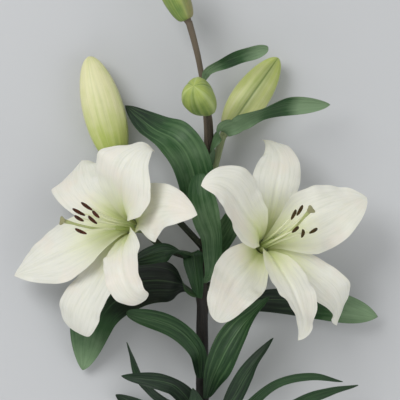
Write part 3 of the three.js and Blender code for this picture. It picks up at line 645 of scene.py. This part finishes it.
# A filament: a thin tube. Its radius falls with its share and with the sixth power of it, and
# widens at the foot with the eighth power of what is left.
def makeFilament(name, bloom, stamen, form, node):
    s = np.linspace(0, 1, form["rings"])
    points, ways = threadLine(rodLine(bloom, stamen, form["length"], form["ring"]), s)
    points = points + ways[-1] * (form["into"] * s**12)[:, None]
    radius = form["radius"] - form["taper"] * s - form["point"] * s**6 + form["foot"] * (1 - s) ** 8
    angle = roundAngles(form["sides"])
    rings = tubeRings(points, ways, radius[:, None], angle, (1, 0.2, 0))
    marks = tubeMarks(s, angle, form["grainEnd"], [0, 1])
    closedSkin(name, rings, marks, filamentSkin, [node])


# `radius` is the solid's own and sets how far an anther stands off its filament; the skin has
# `slim` of it, its ends fall back by `bow`, and two grooves run down it. A slanting anther stands
# off further, by `slantRoom`.
antherForm = {
    "length": 15, "radius": 1.45, "slim": 0.9, "bow": 0.8, "groove": 0.34, "grooveWidth": 0.3,
    "crumb": 0.05, "slantRoom": 0.7, "rings": 49, "sides": 28, "grainEnd": 1.3,
}


# An anther: a bowed spindle across its filament's end. Its radius is a power of a sine, cut by
# two lengthwise grooves, narrow bells of the angle, and roughened by crossed sines.
def makeAnther(name, bloom, stamen, form, seed):
    line = rodLine(bloom, stamen, filamentForm["length"], filamentForm["ring"])
    (end,), (way,) = threadLine(line, [1.0])
    lies = unit(vector(stamen["lies"]))
    slant = abs(lies @ way)
    clear = form["radius"] + seatGap + form["slantRoom"] * slant
    middle = end + way * (clear / math.sqrt(1 - slant**2))
    bend = unit(way - lies * (way @ lies))
    s, angle = np.linspace(0, 1, form["rings"]), roundAngles(form["sides"])
    points = middle + lies * ((s - 0.5) * form["length"])[:, None]
    points = points - bend * (form["bow"] * (2 * s - 1) ** 2)[:, None]
    profile = form["radius"] * form["slim"] * np.sin(np.pi * (0.03 + 0.94 * s)) ** 0.42
    away = ((angle - at + np.pi) % (2 * np.pi) - np.pi for at in (0.5 * np.pi, 1.5 * np.pi))
    groove = sum(bell(turn, form["grooveWidth"]) for turn in away)
    pinch = 1 - form["groove"] * groove * np.sin(np.pi * s)[:, None] ** 0.5
    crumb = form["crumb"] * np.sin(7 * angle + 40 * s[:, None] + seed) * np.sin(31 * s[:, None] + 2 * seed)
    ways = np.repeat(lies[None], len(s), 0)
    rings = tubeRings(points, ways, profile[:, None] * (pinch + crumb), angle, tuple(bend))
    marks = tubeMarks(s, angle, form["grainEnd"], [bloom["olive"], bloom["olive"]])
    closedSkin(name + "_skin", rings, marks, pollenSkin, [name])


for place, bloom in blooms.items():
    node = f"{place}_bloom_pistil"
    makePistil(node, bloom, pistilForm)
    for count, stamen in enumerate(bloom["stamens"], 1):
        makeFilament(f"{place}_bloom_filament_{count}", bloom, stamen, filamentForm, node)
        makeAnther(f"{place}_bloom_anther_{count}", bloom, stamen, antherForm, count)
print("stage: pistils and stamens made")

# Buds: spindles of three lobes. `tone` runs from green, 0, to cream, 1, from base to tip; `seam` and
# `keel` are how plainly the seams and pale ridges show; `blush` browns the lower right flank.
# `lobe` is how far the lobes stand out, and `turn` is where the first one lies.
buds = {
    "left": dict(
        base=[-61, 68, 15.3], tip=[-82.5, 148, 14], half=15.3, widest=0.45, slimFoot=1.3, slimTip=1.1,
        lobe=0.05, turn=90, tone=[0.3, 0.5, 0.74, 0.85, 0.8], seam=0.05, keel=0.1, blush=0.1,
    ),
    "right": dict(
        base=[22.3, 90.5, 14], tip=[62, 147, 12.6], half=13.4, widest=0.44, slimFoot=1.5, slimTip=1.15,
        lobe=0.06, turn=90, tone=[0.62, 0.62, 0.6, 0.55, 0.42], seam=0.75, keel=0.1, blush=0.1,
    ),
    "middle": dict(
        base=[6.4, 107, 50], tip=[-2.4, 122.3, 83], half=11.7, widest=0.5, slimFoot=0.9, slimTip=0.9,
        lobe=0.08, turn=80, tone=[0.12, 0.15, 0.2, 0.26, 0.34], seam=0.55, keel=0.5, blush=0.15,
    ),
    "top": dict(
        base=[-7.4, 174.5, 37], tip=[-28, 217.6, 40], half=9.8, widest=0.5, slimFoot=1, slimTip=1,
        lobe=0.06, turn=45, tone=[0.15, 0.15, 0.2, 0.2, 0.1], seam=0.4, keel=0.2, blush=0.9,
    ),
}
budFinish = {
    "green": "5c793b", "lime": "b3c066", "cream": "dedcae", "ridge": "c3d09a", "seam": "4f6c28",
    "brown": "94895c", "roughness": 0.45,
}


# Bud skin: green to cream by the tone mark with soft lengthwise streaks; dark seams between the
# lobes, with a pale rim each side, a pale ridge down each lobe, and a brown flush on one flank
def budMaterial(name, finish):
    material, tree = emptyMaterial(name)
    lobe, seamDepth, keel = mark(tree, "lobe"), mark(tree, "seam"), mark(tree, "keel")
    streak, veins = streaks(tree, (4, 4, 0.5)), streaks(tree, (15, 15, 0.5), 2)
    clouds = clouded(tree, 90, 2)
    shifted = jittered(tree, jittered(tree, mark(tree, "tone"), streak, 0.5), clouds, 0.25)
    stops = [(0.05, finish["green"]), (0.45, finish["lime"]), (0.85, finish["cream"])]
    body = coated(
        tree, colourRamp(tree, shifted, stops), finish,
        ("green", 0.16, (veins, 0.5, 0.75)),
        ("green", 0.4, (lobe, 0.1, -0.95), seamDepth),
        ("ridge", 0.6, (lobe, 0.82, 1.0), keel),
        ("ridge", 0.25, (lobe, -0.55, -0.8), (lobe, -0.97, -0.85), keel),
        ("seam", 0.8, (lobe, -0.965, -0.999), seamDepth),
        ("brown", 1, (clouds, 0.2, 0.6), mark(tree, "blush")),
    )
    height = timesPlus(tree, clouded(tree, 900, 2), 0.3, timesPlus(tree, veins, 0.8, streak))
    roughness = timesPlus(tree, streak, 0.25, finish["roughness"] - 0.12)
    fixed = {**soaking(0.15, 3, 3, 1.5), "Specular IOR Level": 0.4}
    finishMaterial(tree, body, roughness, height, relief=0.2, fixed=fixed)
    return material


budSkin = budMaterial("bud_skin", budFinish)
budGrid = {
    "along": 96, "round": 120, "foot": 3, "tip": 0.8, "seam": 0.055, "keel": 0.03, "line": 0.05,
    "dents": 0.006, "grain": 0.03,
}


# A bud over s, base to tip, and the angle round it: the radius is the outline, a foot that falls
# with the sixth power and a small tip, times 1 + lobe * cos(3 * angle), less a narrow seam between
# lobes and plus a low keel on each. Heights below 0 are laid flat on the surface.
def makeBud(name, form):
    base = vector(form["base"])
    way = vector(form["tip"]) - base
    tangent = unit(way)
    if tangent[2] > 0.8:  # nearly upright
        side = unit(np.array([1, 0, 0]) - tangent * tangent[0])
    else:
        side = unit(np.cross(tangent, [0, 0, 1]))
    other = np.cross(tangent, side)
    s, angle = spaced(budGrid["along"]), roundAngles(budGrid["round"])
    radius = form["half"] * outline(s, form) + budGrid["foot"] * (1 - s) ** 6
    radius = np.maximum(radius + budGrid["tip"] * s * np.sqrt(1 - s**40), 0.12)[:, None]
    lobe = np.cos(3 * (angle - form["turn"] * rad))[None]
    body = (smooth(s / 0.15) * smooth((1 - s) / 0.06))[:, None]
    seam = budGrid["seam"] * form["seam"] * bell(1 + lobe, budGrid["line"]) * body
    keel = budGrid["keel"] * bell(1 - lobe, budGrid["line"]) * body
    dents = budGrid["dents"] * uneven(s[:, None] * 2, angle[None], form["half"])
    radius = radius * (1 + form["lobe"] * lobe - seam + keel + dents)
    circle = side * np.cos(angle)[:, None] + other * np.sin(angle)[:, None]
    rings = (base + way * s[:, None])[:, None] + radius[..., None] * circle[None]
    rings[..., 2] = np.maximum(rings[..., 2], 0)
    right = smooth((0.3 + circle[:, 0]) / 1.1)[None]
    marks = tubeMarks(s, angle, np.linalg.norm(way) * budGrid["grain"], form["tone"])
    marks.update(lobe=lobe, seam=form["seam"], keel=form["keel"])
    marks["blush"] = form["blush"] * right * smooth((0.6 - s) / 0.5)[:, None]
    closedSkin(name + "_skin", rings, marks, budSkin, [name])


for place, form in buds.items():
    makeBud(f"bud_{place}", form)
print("stage: buds made")

# The main stem: its centre line, the radii along it, and its tone from near black, 0, to
# grey-brown, 1. The tone is partly the stem's own colour and partly painted light: near black
# as painted shade low down, and paler grey-brown as painted light near the top
stemForm = dict(
    line=[
        [2, -219, 4.92], [3.5, -168, 11], [4, -114, 18], [4, -38, 25], [6, 38, 30],
        [7.5, 84, 31], [6, 110, 31], [3, 135, 32], [-1.2, 155, 34], [-6.2, 173, 37],
    ],
    radii=[5.2, 5.1, 5, 4.8, 4.2, 2.9, 2.3, 2.2, 2.1, 2.6],
    tone=[0.1, 0.05, 0, 0, 0.05, 0.25, 0.5, 0.8, 1, 0.9],
    rings=360, sides=60, ridges=9, ridgeHeight=0.018, dents=0.02, cushion=0.75, cushionWidth=3.6,
    grainEnd=12.15,
)
# Flower stalks from the main stem to each bloom and bud, swollen to `cap` at the end; their tone
# runs from dark green, 0, to pale green, 1, and the brown ones take the main stem's skin. The dark
# tone where the bloom stalks leave the stem is painted shade, and the pale brown of the top bud's
# stalk is partly painted light
stalks = {
    "left_bloom": dict(
        line=[[4.5, -8, 27], [-11, -3.5, 23], [-27, 3, 26], [-38, 14, 38]], radius=2.6, cap=6.4,
        tone=[0, 0.1, 0.6],
    ),
    "right_bloom": dict(
        line=[[4.5, -30, 25], [20, -20, 24], [32, -9, 29], [40.3, -1.8, 39.4]], radius=2.6, cap=6.4,
        tone=[0, 0.1, 0.6],
    ),
    "left_bud": dict(
        line=[[5, 2, 28], [-10.5, 18.5, 22.5], [-27, 36, 18], [-46, 53, 14.5]], radius=2.4, cap=3.6,
        tone=[0, 0.15, 0.7],
    ),
    "right_bud": dict(
        line=[[6.5, 46, 30], [12.8, 62, 27], [16.8, 77, 21]], radius=2.7, cap=3.6, tone=[0.8, 0.95, 1],
    ),
    "middle_bud": dict(
        line=[[7, 68, 30.5], [10, 84, 32], [9.5, 98, 39]], radius=2.2, cap=3.4, tone=[0.3, 0.45, 0.6],
        brown=True,
    ),
    "top_bud": dict(
        line=[[-1.2, 155, 34], [-3.8, 165, 35.5]], radius=2.2, cap=3.4, flare=-0.5, tone=[1, 0.95, 0.9],
        brown=True,
    ),
}

# Leaves: each grows from the main stem where it passes `at`, runs through the points of `rib` and
# is `half` wide each side. `across` is roughly the line from edge to edge, and `turned` that line
# beyond the middle. From foot to tip, `tone` runs from near black, 0, to pale green, 1: partly the
# leaf's own colour, and partly painted shade where a leaf lies in shadow and painted light and
# sheen where it is lit. `stripe` is how strongly its veins show.
leaves = {
    "leaf_top_slim": dict(
        at=128.8, rib=[[10.1, 136.8, 41.5], [33.9, 147.6, 42.3], [53.7, 152.9, 39.6]], half=6.7,
        across=[-0.3, 0.72, 0.57], turned=[-0.2, 0.74, 0.56], widest=0.69, slimFoot=1.2, slimTip=1.26,
        tone=[1, 0.85, 0.45, 0.8, 1.1], stripe=0.3,
    ),
    "leaf_top_broad": dict(
        at=62,
        rib=[
            [14.8, 87.1, 38.2], [29.9, 95.9, 48.1], [45.4, 102.9, 54.1], [68, 110.1, 48.4],
            [100.2, 110, 41.1],
        ],
        half=9.4, across=[0.69, 0.61, 0.69], turned=[0.23, 0.55, 0.38], widest=0.7, slimFoot=0.84,
        slimTip=2.4, tone=[0.6, 0.8, 0.9, 0.8, 0.45, 1.05, 1.15], stripe=0.3,
    ),
    "leaf_upper_broad": dict(
        at=24.2, rib=[[-4.5, 64.4, 43.5], [-15.6, 82.5, 46.5], [-33.6, 92.7, 31.1], [-55, 110.7, 8.8]],
        half=16.2, across=[0.82, 0.47, -0.15], turned=[0.87, 0.19, 0.03], widest=0.45, slimFoot=0.87,
        slimTip=1.51, tone=[0.5, 0.6, 0.68, 0.45, 0.15], stripe=0.9,
    ),
    "leaf_front": dict(
        at=-24,
        rib=[[11.7, -14, 45.5], [12.1, 9.9, 57], [7.4, 26.7, 58.2], [3.4, 43.4, 60.2], [2.4, 57.9, 54.7]],
        half=11.5, across=[0.71, -0.11, 0.41], turned=[1.06, 0.11, 0.17], widest=0.68, slimFoot=1.43,
        slimTip=1.35, tone=[0.75, 0.65, 0.72, 0.6], stripe=0.6,
    ),
    "leaf_right_dark": dict(
        at=-8, rib=[[17, 5, 33], [27, 22, 36], [35, 40, 33]], half=9, across=[0.85, -0.5, 0.2], widest=0.5,
        tone=[0.45, 0.7, 0.75], stripe=0.5,
    ),
    "leaf_right_broad": dict(
        at=-42, rib=[[20, -42, 20], [45, -38, 18], [75, -38, 20], [105, -42, 20], [138, -51, 14]], half=13,
        across=[0.1, 0.9, 0.3], widest=0.72, slimTip=3, tone=[0.1, 0.1, 0.2, 0.75, 1], stripe=0.2,
    ),
    "leaf_left_broad": dict(
        at=-34.5, rib=[[-15, -24.7, 24.4], [-46.5, -25, 26.5], [-75.8, -45.4, 18.7], [-87.7, -92.2, 6.7]],
        half=20.1, across=[-0.35, 1.01, 0.08], turned=[-0.47, 0.85, 0.17], widest=0.52, slimFoot=0.89,
        slimTip=1.53, tone=[0.05, 0.05, 0.22, 0.65, 0.95], stripe=0.1,
    ),
    "leaf_left_dark": dict(
        at=-35.9, rib=[[-1.8, -11.2, 35.7], [-4.8, -2, 35.8], [-25.1, -0.2, 43.5], [-50.2, -8.9, 38]],
        half=9, across=[1.19, -0.26, 0.33], turned=[-0.02, 0.81, 0.26], widest=0.56, slimFoot=1.13,
        slimTip=1.39, tone=[0.5, 0.45, 0.4, 0.2], stripe=0.3,
    ),
    "leaf_left_arched": dict(
        at=-96.6, rib=[[-0.5, -74.2, 36.4], [-19.4, -56.4, 41.3], [-53.4, -46.9, 34.2]], half=8.3,
        across=[0.82, 0.5, 0.18], widest=0.58, slimFoot=1.12, slimTip=1.13, tone=[0.3, 0.45, 0.5, 0.5],
        stripe=0.6,
    ),
    "leaf_left_thin": dict(
        at=-112, rib=[[-22, -114, 30], [-41, -97, 40], [-53, -69, 40]], half=6.5, across=[0.5, 0.3, 0.8],
        widest=0.4, tone=[0.2, 0.3, 0.3], stripe=0.2,
    ),
    "leaf_left_bent": dict(
        at=-126, rib=[[-11, -106, 46], [-24, -98, 54], [-57, -94, 46]], half=8, across=[0.7, 0.6, 0.3],
        widest=0.45, tone=[0.1, 0.2, 0.3], stripe=0.3,
    ),
    "leaf_upright": dict(
        at=-139, rib=[[0, -124, 50], [-1, -111, 74], [-3, -100, 92]], half=8, across=[0.95, 0.3, 0],
        widest=0.45, tone=[0.2, 0.3, 0.35], stripe=0.3,
    ),
    "leaf_right_striped": dict(
        at=-112, rib=[[15.6, -88.3, 36.3], [31.6, -59.7, 39], [54.7, -35, 31.5]], half=11.8,
        across=[0.75, 0.57, 0.16], turned=[0.73, 0.36, 0.16], widest=0.5, slimFoot=1.3, slimTip=1.54,
        tone=[0.45, 0.5, 0.5], stripe=1,
    ),
    "leaf_right_pointed": dict(
        at=-128, rib=[[22, -117, 46], [38, -90, 56], [57, -65, 54]], half=7.5, across=[0.8, 0.5, 0.2],
        widest=0.45, tone=[0.5, 0.35, 0.3, 0.3], stripe=0.4,
    ),
    "leaf_right_bent": dict(
        at=-146, rib=[[32, -123, 34], [58, -100, 45], [85, -94, 45], [110, -99, 38]], half=5.5,
        across=[0.3, 0.8, 0.6], widest=0.45, tone=[0.5, 0.45, 0.5, 0.4], stripe=0.4,
    ),
    "leaf_right_long": dict(
        at=-158, rib=[[40, -136, 26], [77, -114, 34], [100, -106, 36], [122, -102, 32]], half=6,
        across=[0.4, 0.8, 0.5], widest=0.5, tone=[0.4, 0.4, 0.45, 0.4], stripe=0.4,
    ),
}
# Leaves of the under side, in turn left and right down the lower stem: length, sweep, height and
# width each vary a little by a cosine of the leaf's number
floorForm = {"count": 6, "first": -151, "step": 10.5, "half": 8, "reach": 66, "height": 2.8, "sweep": 0.5}
# Stem and stalk colours: their dark and light ends also carry painted shade and painted light
stemFinish = {"dark": "0d0b08", "light": "6f6353", "flush": "2b2418"}
stalkFinish = {"dark": "172012", "light": "93a073", "flush": "4a5734"}
pithFinish = {"dark": "8fa36a", "light": "d9deb8"}
# Leaf greens: the near-black and the pale ends stand partly for painted shade and painted light
leafFinish = {
    "dark": "0a140c", "deep": "15291a", "mid": "2d502b", "light": "7b9572", "vein": "66865a",
    "rear": "48663f",
}


# Stem skin: dark to light by the tone mark, which carries painted shade and painted light as well
# as the stem's own colour, with lengthwise fibres and pale specks; the cut end shows a green-white
# pith
def stemMaterial(name, finish):
    material, tree = emptyMaterial(name)
    streak, fibres = streaks(tree, (7, 7, 1), 4, 0.6), streaks(tree, (22, 22, 1.5), 2)
    specks = clouded(tree, 1100, 2)
    shifted = jittered(tree, mark(tree, "tone"), streak, 0.5)
    body = colourRamp(tree, shifted, [(0.0, finish["dark"]), (1.0, finish["light"])])
    coats = ("flush", 0.45, (fibres, 0.5, 0.75)), ("light", 0.3, (specks, 0.64, 0.75))
    body = coated(tree, body, finish, *coats)
    pith = colourRamp(tree, clouded(tree, 900), [(0.35, pithFinish["dark"]), (0.65, pithFinish["light"])])
    body = blendColour(tree, rise(tree, mark(tree, "cut"), 0.4, 0.6), body, pith)
    height = timesPlus(tree, specks, 0.3, calc(tree, "ADD", streak, fibres))
    roughness = timesPlus(tree, streak, 0.25, 0.35)
    finishMaterial(tree, body, roughness, height, relief=0.3, fixed={"Specular IOR Level": 0.4})
    return material


# Leaf skin: the tone mark picks the green, which holds painted shade, painted light and sheen as
# well as the leaf's own colour; parallel veins run from foot to tip as a sine across, a pale
# midvein lies in the middle, the rear is paler, and the gloss is broken up in clouds
def leafMaterial(name, finish):
    material, tree = emptyMaterial(name)
    across, stripe = mark(tree, "across"), mark(tree, "stripe")
    streak, fine = streaks(tree, (6, 6, 1.1), 3, 0.6), streaks(tree, (19, 19, 0.9), 2)
    clouds, off = clouded(tree, 60), calc(tree, "ABSOLUTE", across)
    shifted = jittered(tree, jittered(tree, mark(tree, "tone"), clouds, 0.3), streak, 0.35)
    stops = [(0.0, finish["dark"]), (0.3, finish["deep"]), (0.62, finish["mid"]), (1.0, finish["light"])]
    drift = timesPlus(tree, clouds, 3.0, times(tree, streak, 5.0))
    wave = calc(tree, "SINE", timesPlus(tree, across, 15.0, drift))
    midvein = timesPlus(tree, stripe, 0.5, 0.1)
    body = coated(
        tree, colourRamp(tree, shifted, stops), finish,
        ("vein", 0.34, (wave, -0.2, 1.0), (streak, 0.35, 0.6), stripe),
        ("vein", 0.22, (fine, 0.55, 0.75)),
        ("vein", midvein, (off, 0.06, 0.015), (mark(tree, "along"), 1.0, 0.7)),
        ("mid", 0.35, (off, 0.95, 1.0)),
        ("rear", 0.55, (mark(tree, "face"), 0.4, 0.1)),
    )
    height = timesPlus(tree, wave, 0.5, timesPlus(tree, fine, 1.2, streak))
    roughness = timesPlus(tree, clouds, 0.3, timesPlus(tree, streak, 0.15, 0.26))
    finishMaterial(tree, body, roughness, height, relief=0.14, fixed={"Specular IOR Level": 0.3})
    return material


stemSkin = stemMaterial("stem_skin", stemFinish)
stalkSkin = stemMaterial("stalk_skin", stalkFinish)
leafSkin = leafMaterial("leaf_skin", leafFinish)

# Fine copy of the stem's line, to find where it passes a given y
stemShares = np.linspace(0, 1, 1201)
stemTrack, stemWays = threadLine(stemForm["line"], stemShares)


# Centre, direction and radius of the main stem where it passes `y`
def stemAt(y):
    share = np.interp(y, stemTrack[:, 1], stemShares)
    way = unit(readLine(share, stemShares, stemWays))
    return readLine(share, stemShares, stemTrack), way, float(through(stemForm["radii"], share))


# The same where a leaf grows, and the direction in which it leaves the stem
def leafFoot(form):
    point, way, radius = stemAt(form["at"])
    out = vector(form["rib"][0]) - point
    return point, way, radius, unit(out - way * (out @ way))


for count in range(floorForm["count"]):
    at = floorForm["first"] - floorForm["step"] * count
    side = 1 if count % 2 else -1
    far = floorForm["reach"] * (0.84 + 0.16 * math.cos(2.4 * count))
    sweep = floorForm["sweep"] * (1 + 0.22 * math.cos(1.9 * count))
    lift = floorForm["height"] + 4 * (1 + math.cos(3.1 * count))
    shares = [(0.22, floorForm["height"] + 4), (0.55, floorForm["height"]), (1, lift)]
    stemX = stemAt(at)[0][0]
    leaves[f"leaf_under_{count + 1}"] = dict(
        at=at, rib=[[stemX + side * far * k, at + far * k * sweep, z] for k, z in shares],
        half=floorForm["half"] * (1 + 0.1 * math.cos(2.9 * count)), across=[-side * sweep, 1, 0],
        widest=0.5, tone=[0.25, 0.35, 0.3], stripe=0.4,
    )

# What all leaves share: grid steps, how far the foot is set into the stem and how much wider it
# is, the arc's half-angle, the groove down the midvein, veins, unevenness and waves of the edge,
# and the thickness at the edges with what the middle and the foot have more
leafForm = dict(
    along=84, across=28, inset=0.5, foot=2, cup=35, groove=0.45, grooveWidth=0.9, veins=16,
    veinHeight=0.09, unevenness=0.5, edgeWave=0.45, thick=0.75, thickMiddle=0.5, thickFoot=0.8,
)


# A leaf's middle surface over s, foot to tip, and t, edge to edge: an arc across a smooth rib
# line, with a bell-shaped groove down the midvein, veins, a cosine of t, a slow unevenness and
# edge waves that grow with t^2
def makeLeaf(name, form, seed):
    point, stemWay, radius, out = leafFoot(form)
    s, t = spaced(leafForm["along"]), edgeToEdge(leafForm["across"])
    points, ways = threadLine([point + out * (radius - leafForm["inset"]), *form["rib"]], s)
    across, turned = vector(form["across"]), vector(form.get("turned", form["across"]))
    footAcross = np.cross(stemWay, out)
    footAcross = footAcross * (1 if footAcross @ across > 0 else -1)
    side = footAcross + (across - footAcross) * smooth(s / 0.25)[:, None]
    side = side + (turned - across) * smooth((s - 0.45) / 0.3)[:, None]
    side = unit(side - ways * np.sum(side * ways, 1)[:, None])
    centre = len(s) // 2
    normal = np.cross(side, ways)
    upwards = 1 if normal[centre, 2] > 0 else -1
    half = blunted(form["half"] * outline(s, form) + leafForm["foot"] * (1 - s) ** 6, s, 0.08)[:, None]
    sideways, inwards = arc(half, leafForm["cup"] * rad, t)
    body = (smooth(s / 0.12) * smooth((1 - s) / 0.15))[:, None]
    inwards = inwards - leafForm["groove"] * body * bell(t * half, leafForm["grooveWidth"])
    inwards = inwards + leafForm["veinHeight"] * body * np.cos(leafForm["veins"] * t + 1) * (1 - t**4)
    waves = leafForm["edgeWave"] * np.abs(t) ** 2 * np.sin(15 * s[:, None] + 2 * (t > 0) + seed)
    inwards = inwards + body * (leafForm["unevenness"] * uneven(2 * s[:, None], t, seed) + waves)
    middle = bladeMiddle(points, side, normal * upwards, sideways, inwards)
    thick = (leafForm["thick"] + leafForm["thickMiddle"] * bell(t * half, 1.2)) * (1 - 0.35 * s[:, None])
    thick = thick + leafForm["thickFoot"] * np.clip(1 - s[:, None] * 12, 0, 1)
    rings = bladeRings(middle, t, thick)
    rings[..., 2] = np.maximum(rings[..., 2], 0.02)
    marks = bladeMarks(s, t, seed, 1 if upwards > 0 else 0)
    marks.update(tone=through(form["tone"], s)[:, None], stripe=form["stripe"])
    closedSkin(name + "_skin", rings, marks, leafSkin, [name])


for seed, (name, form) in enumerate(leaves.items(), 1):
    makeLeaf(name, form, seed)
print("stage: leaves made")


# The main stem: a tube with low lengthwise ridges, a cosine of nine times the angle, a low cushion
# under each leaf foot, a bell of the distance, and a flat cut end closed by three smaller rings
def makeStem(form):
    s = np.concatenate([[0, 0, 0, 0.0012], np.linspace(0.004, 1, form["rings"])])
    shape = np.ones(len(s))
    shape[:3] = 0.3, 0.75, 0.95
    points, ways = threadLine(form["line"], s)
    angle = roundAngles(form["sides"])
    swell = 1 + form["ridgeHeight"] * np.cos(form["ridges"] * angle + 3 * s[:, None])
    swell = swell + form["dents"] * uneven(14 * s[:, None], angle[None], 3)
    radius = through(form["radii"], s)[:, None] * swell * shape[:, None]
    rings = tubeRings(points, ways, radius, angle)
    for leaf in leaves.values():
        at, way, size, out = leafFoot(leaf)
        spot = at + out * size - way * 1.5
        near = bell(np.linalg.norm(rings - spot, axis=-1), form["cushionWidth"]) * (s > 0.01)[:, None]
        rings = rings + form["cushion"] * near[..., None] * out
    rings[..., 2] = np.maximum(rings[..., 2], 0)
    marks = tubeMarks(s, angle, form["grainEnd"], form["tone"])
    marks["cut"] = (shape < 0.97)[:, None].astype(float)
    closedSkin("stem_skin", rings, marks, stemSkin, ["stem"])


stalkGrid = {"rings": 81, "sides": 40, "ridges": 6, "ridgeHeight": 0.03, "into": 1.3, "grainEnd": 1.8}


# A flower stalk: a tube that flares where it leaves the stem, swells to `cap` with a high power of
# its share and ends `into` the foot of what it carries, whose base and direction are given
def makeStalk(name, form, base, way):
    end = base - way * seatGap
    s, angle = np.linspace(0, 1, stalkGrid["rings"]), roundAngles(stalkGrid["sides"])
    points, ways = threadLine([*form["line"], end - way * 5, end], s)
    points = points + way * (stalkGrid["into"] * smooth((s - 0.9) / 0.1))[:, None]
    radius = form["radius"] + (form["cap"] - form["radius"]) * s**14
    radius = radius + form.get("flare", 0.5) * (1 - s) ** 20
    swell = 1 + stalkGrid["ridgeHeight"] * np.cos(stalkGrid["ridges"] * angle)[None] * (1 + s[:, None])
    rings = tubeRings(points, ways, radius[:, None] * swell, angle, (0.3, 1, 0.2))
    marks = {**tubeMarks(s, angle, stalkGrid["grainEnd"], form["tone"]), "cut": 0.0}
    closedSkin(name, rings, marks, stemSkin if form.get("brown") else stalkSkin, ["stem"])


makeStem(stemForm)
carried = {place + "_bloom": (bloom["base"], vector(bloom["axis"])) for place, bloom in blooms.items()}
for place, form in buds.items():
    carried[place + "_bud"] = form["base"], vector(form["tip"]) - vector(form["base"])
for place, (base, way) in carried.items():
    makeStalk("stalk_" + place, stalks[place], vector(base), unit(way))
print("stage: stem and stalks made")

# The surface it lies on: one wide pale sheet at height 0
room = {"width": 8, "floor": "c4c6c8", "sky": "ffffff", "skyStrength": 0.45}
floorMesh = bpy.data.meshes.new("floor")
reach = room["width"] / 2
corners = [(-reach, -reach, 0), (reach, -reach, 0), (reach, reach, 0), (-reach, reach, 0)]
floorMesh.from_pydata(corners, [], [(0, 1, 2, 3)])
floorSkin, tree = emptyMaterial("floor_skin")
floorMesh.materials.append(floorSkin)
plain = {"Base Color": tint(room["floor"]), "Roughness": 0.9, "Specular IOR Level": 0.1}
lay(tree, "OutputMaterial", {"Surface": lay(tree, "BsdfPrincipled", plain).outputs[0]})
floor = addObject("floor", floorMesh)

world = bpy.data.worlds.new("studio")
world.use_nodes = True
sky = world.node_tree.nodes["Background"].inputs
sky["Color"].default_value = tint(room["sky"])
sky["Strength"].default_value = room["skyStrength"]
bpy.context.scene.world = world

# Soft lights, all aimed at one point: place and width in metres, and power
lightAim = np.array([0, 0.03, 0.05])
lights = {
    "key": {"from": (-0.9, 0.9, 1.5), "size": 1.1, "power": 20.5},
    "fill": {"from": (1.3, -0.6, 1.2), "size": 1.6, "power": 8},
    "low": {"from": (-0.2, -1.5, 0.9), "size": 1.2, "power": 5.5},
}
for name, light in lights.items():
    lamp = bpy.data.lights.new(name, "AREA")
    lamp.size, lamp.energy = light["size"], light["power"]
    holder = addObject(name, lamp)
    holder.location = light["from"]
    aim = lightAim - vector(light["from"])
    down = math.pi - math.acos(aim[2] / np.linalg.norm(aim))
    holder.rotation_euler = (down, 0, math.atan2(aim[1], aim[0]) - math.pi / 2)

# The camera stands straight above and sees a width of 300 mm at a height of 50 mm
cameraForm = {"place": (2.25, 38.25, 2000), "seen": 300, "atHeight": 50, "sensor": 36, "farEnd": 100}
lens = bpy.data.cameras.new("camera")
lens.sensor_width = cameraForm["sensor"]
lens.lens = cameraForm["sensor"] * (cameraForm["place"][2] - cameraForm["atHeight"]) / cameraForm["seen"]
lens.clip_end = cameraForm["farEnd"]  # metres
camera = addObject("camera", lens)
camera.location = [value * mm for value in cameraForm["place"]]
bpy.context.scene.camera = camera
bpy.context.scene.view_settings.view_transform = "Standard"

bpy.context.view_layer.update()
print("stage: room, lights and camera set")
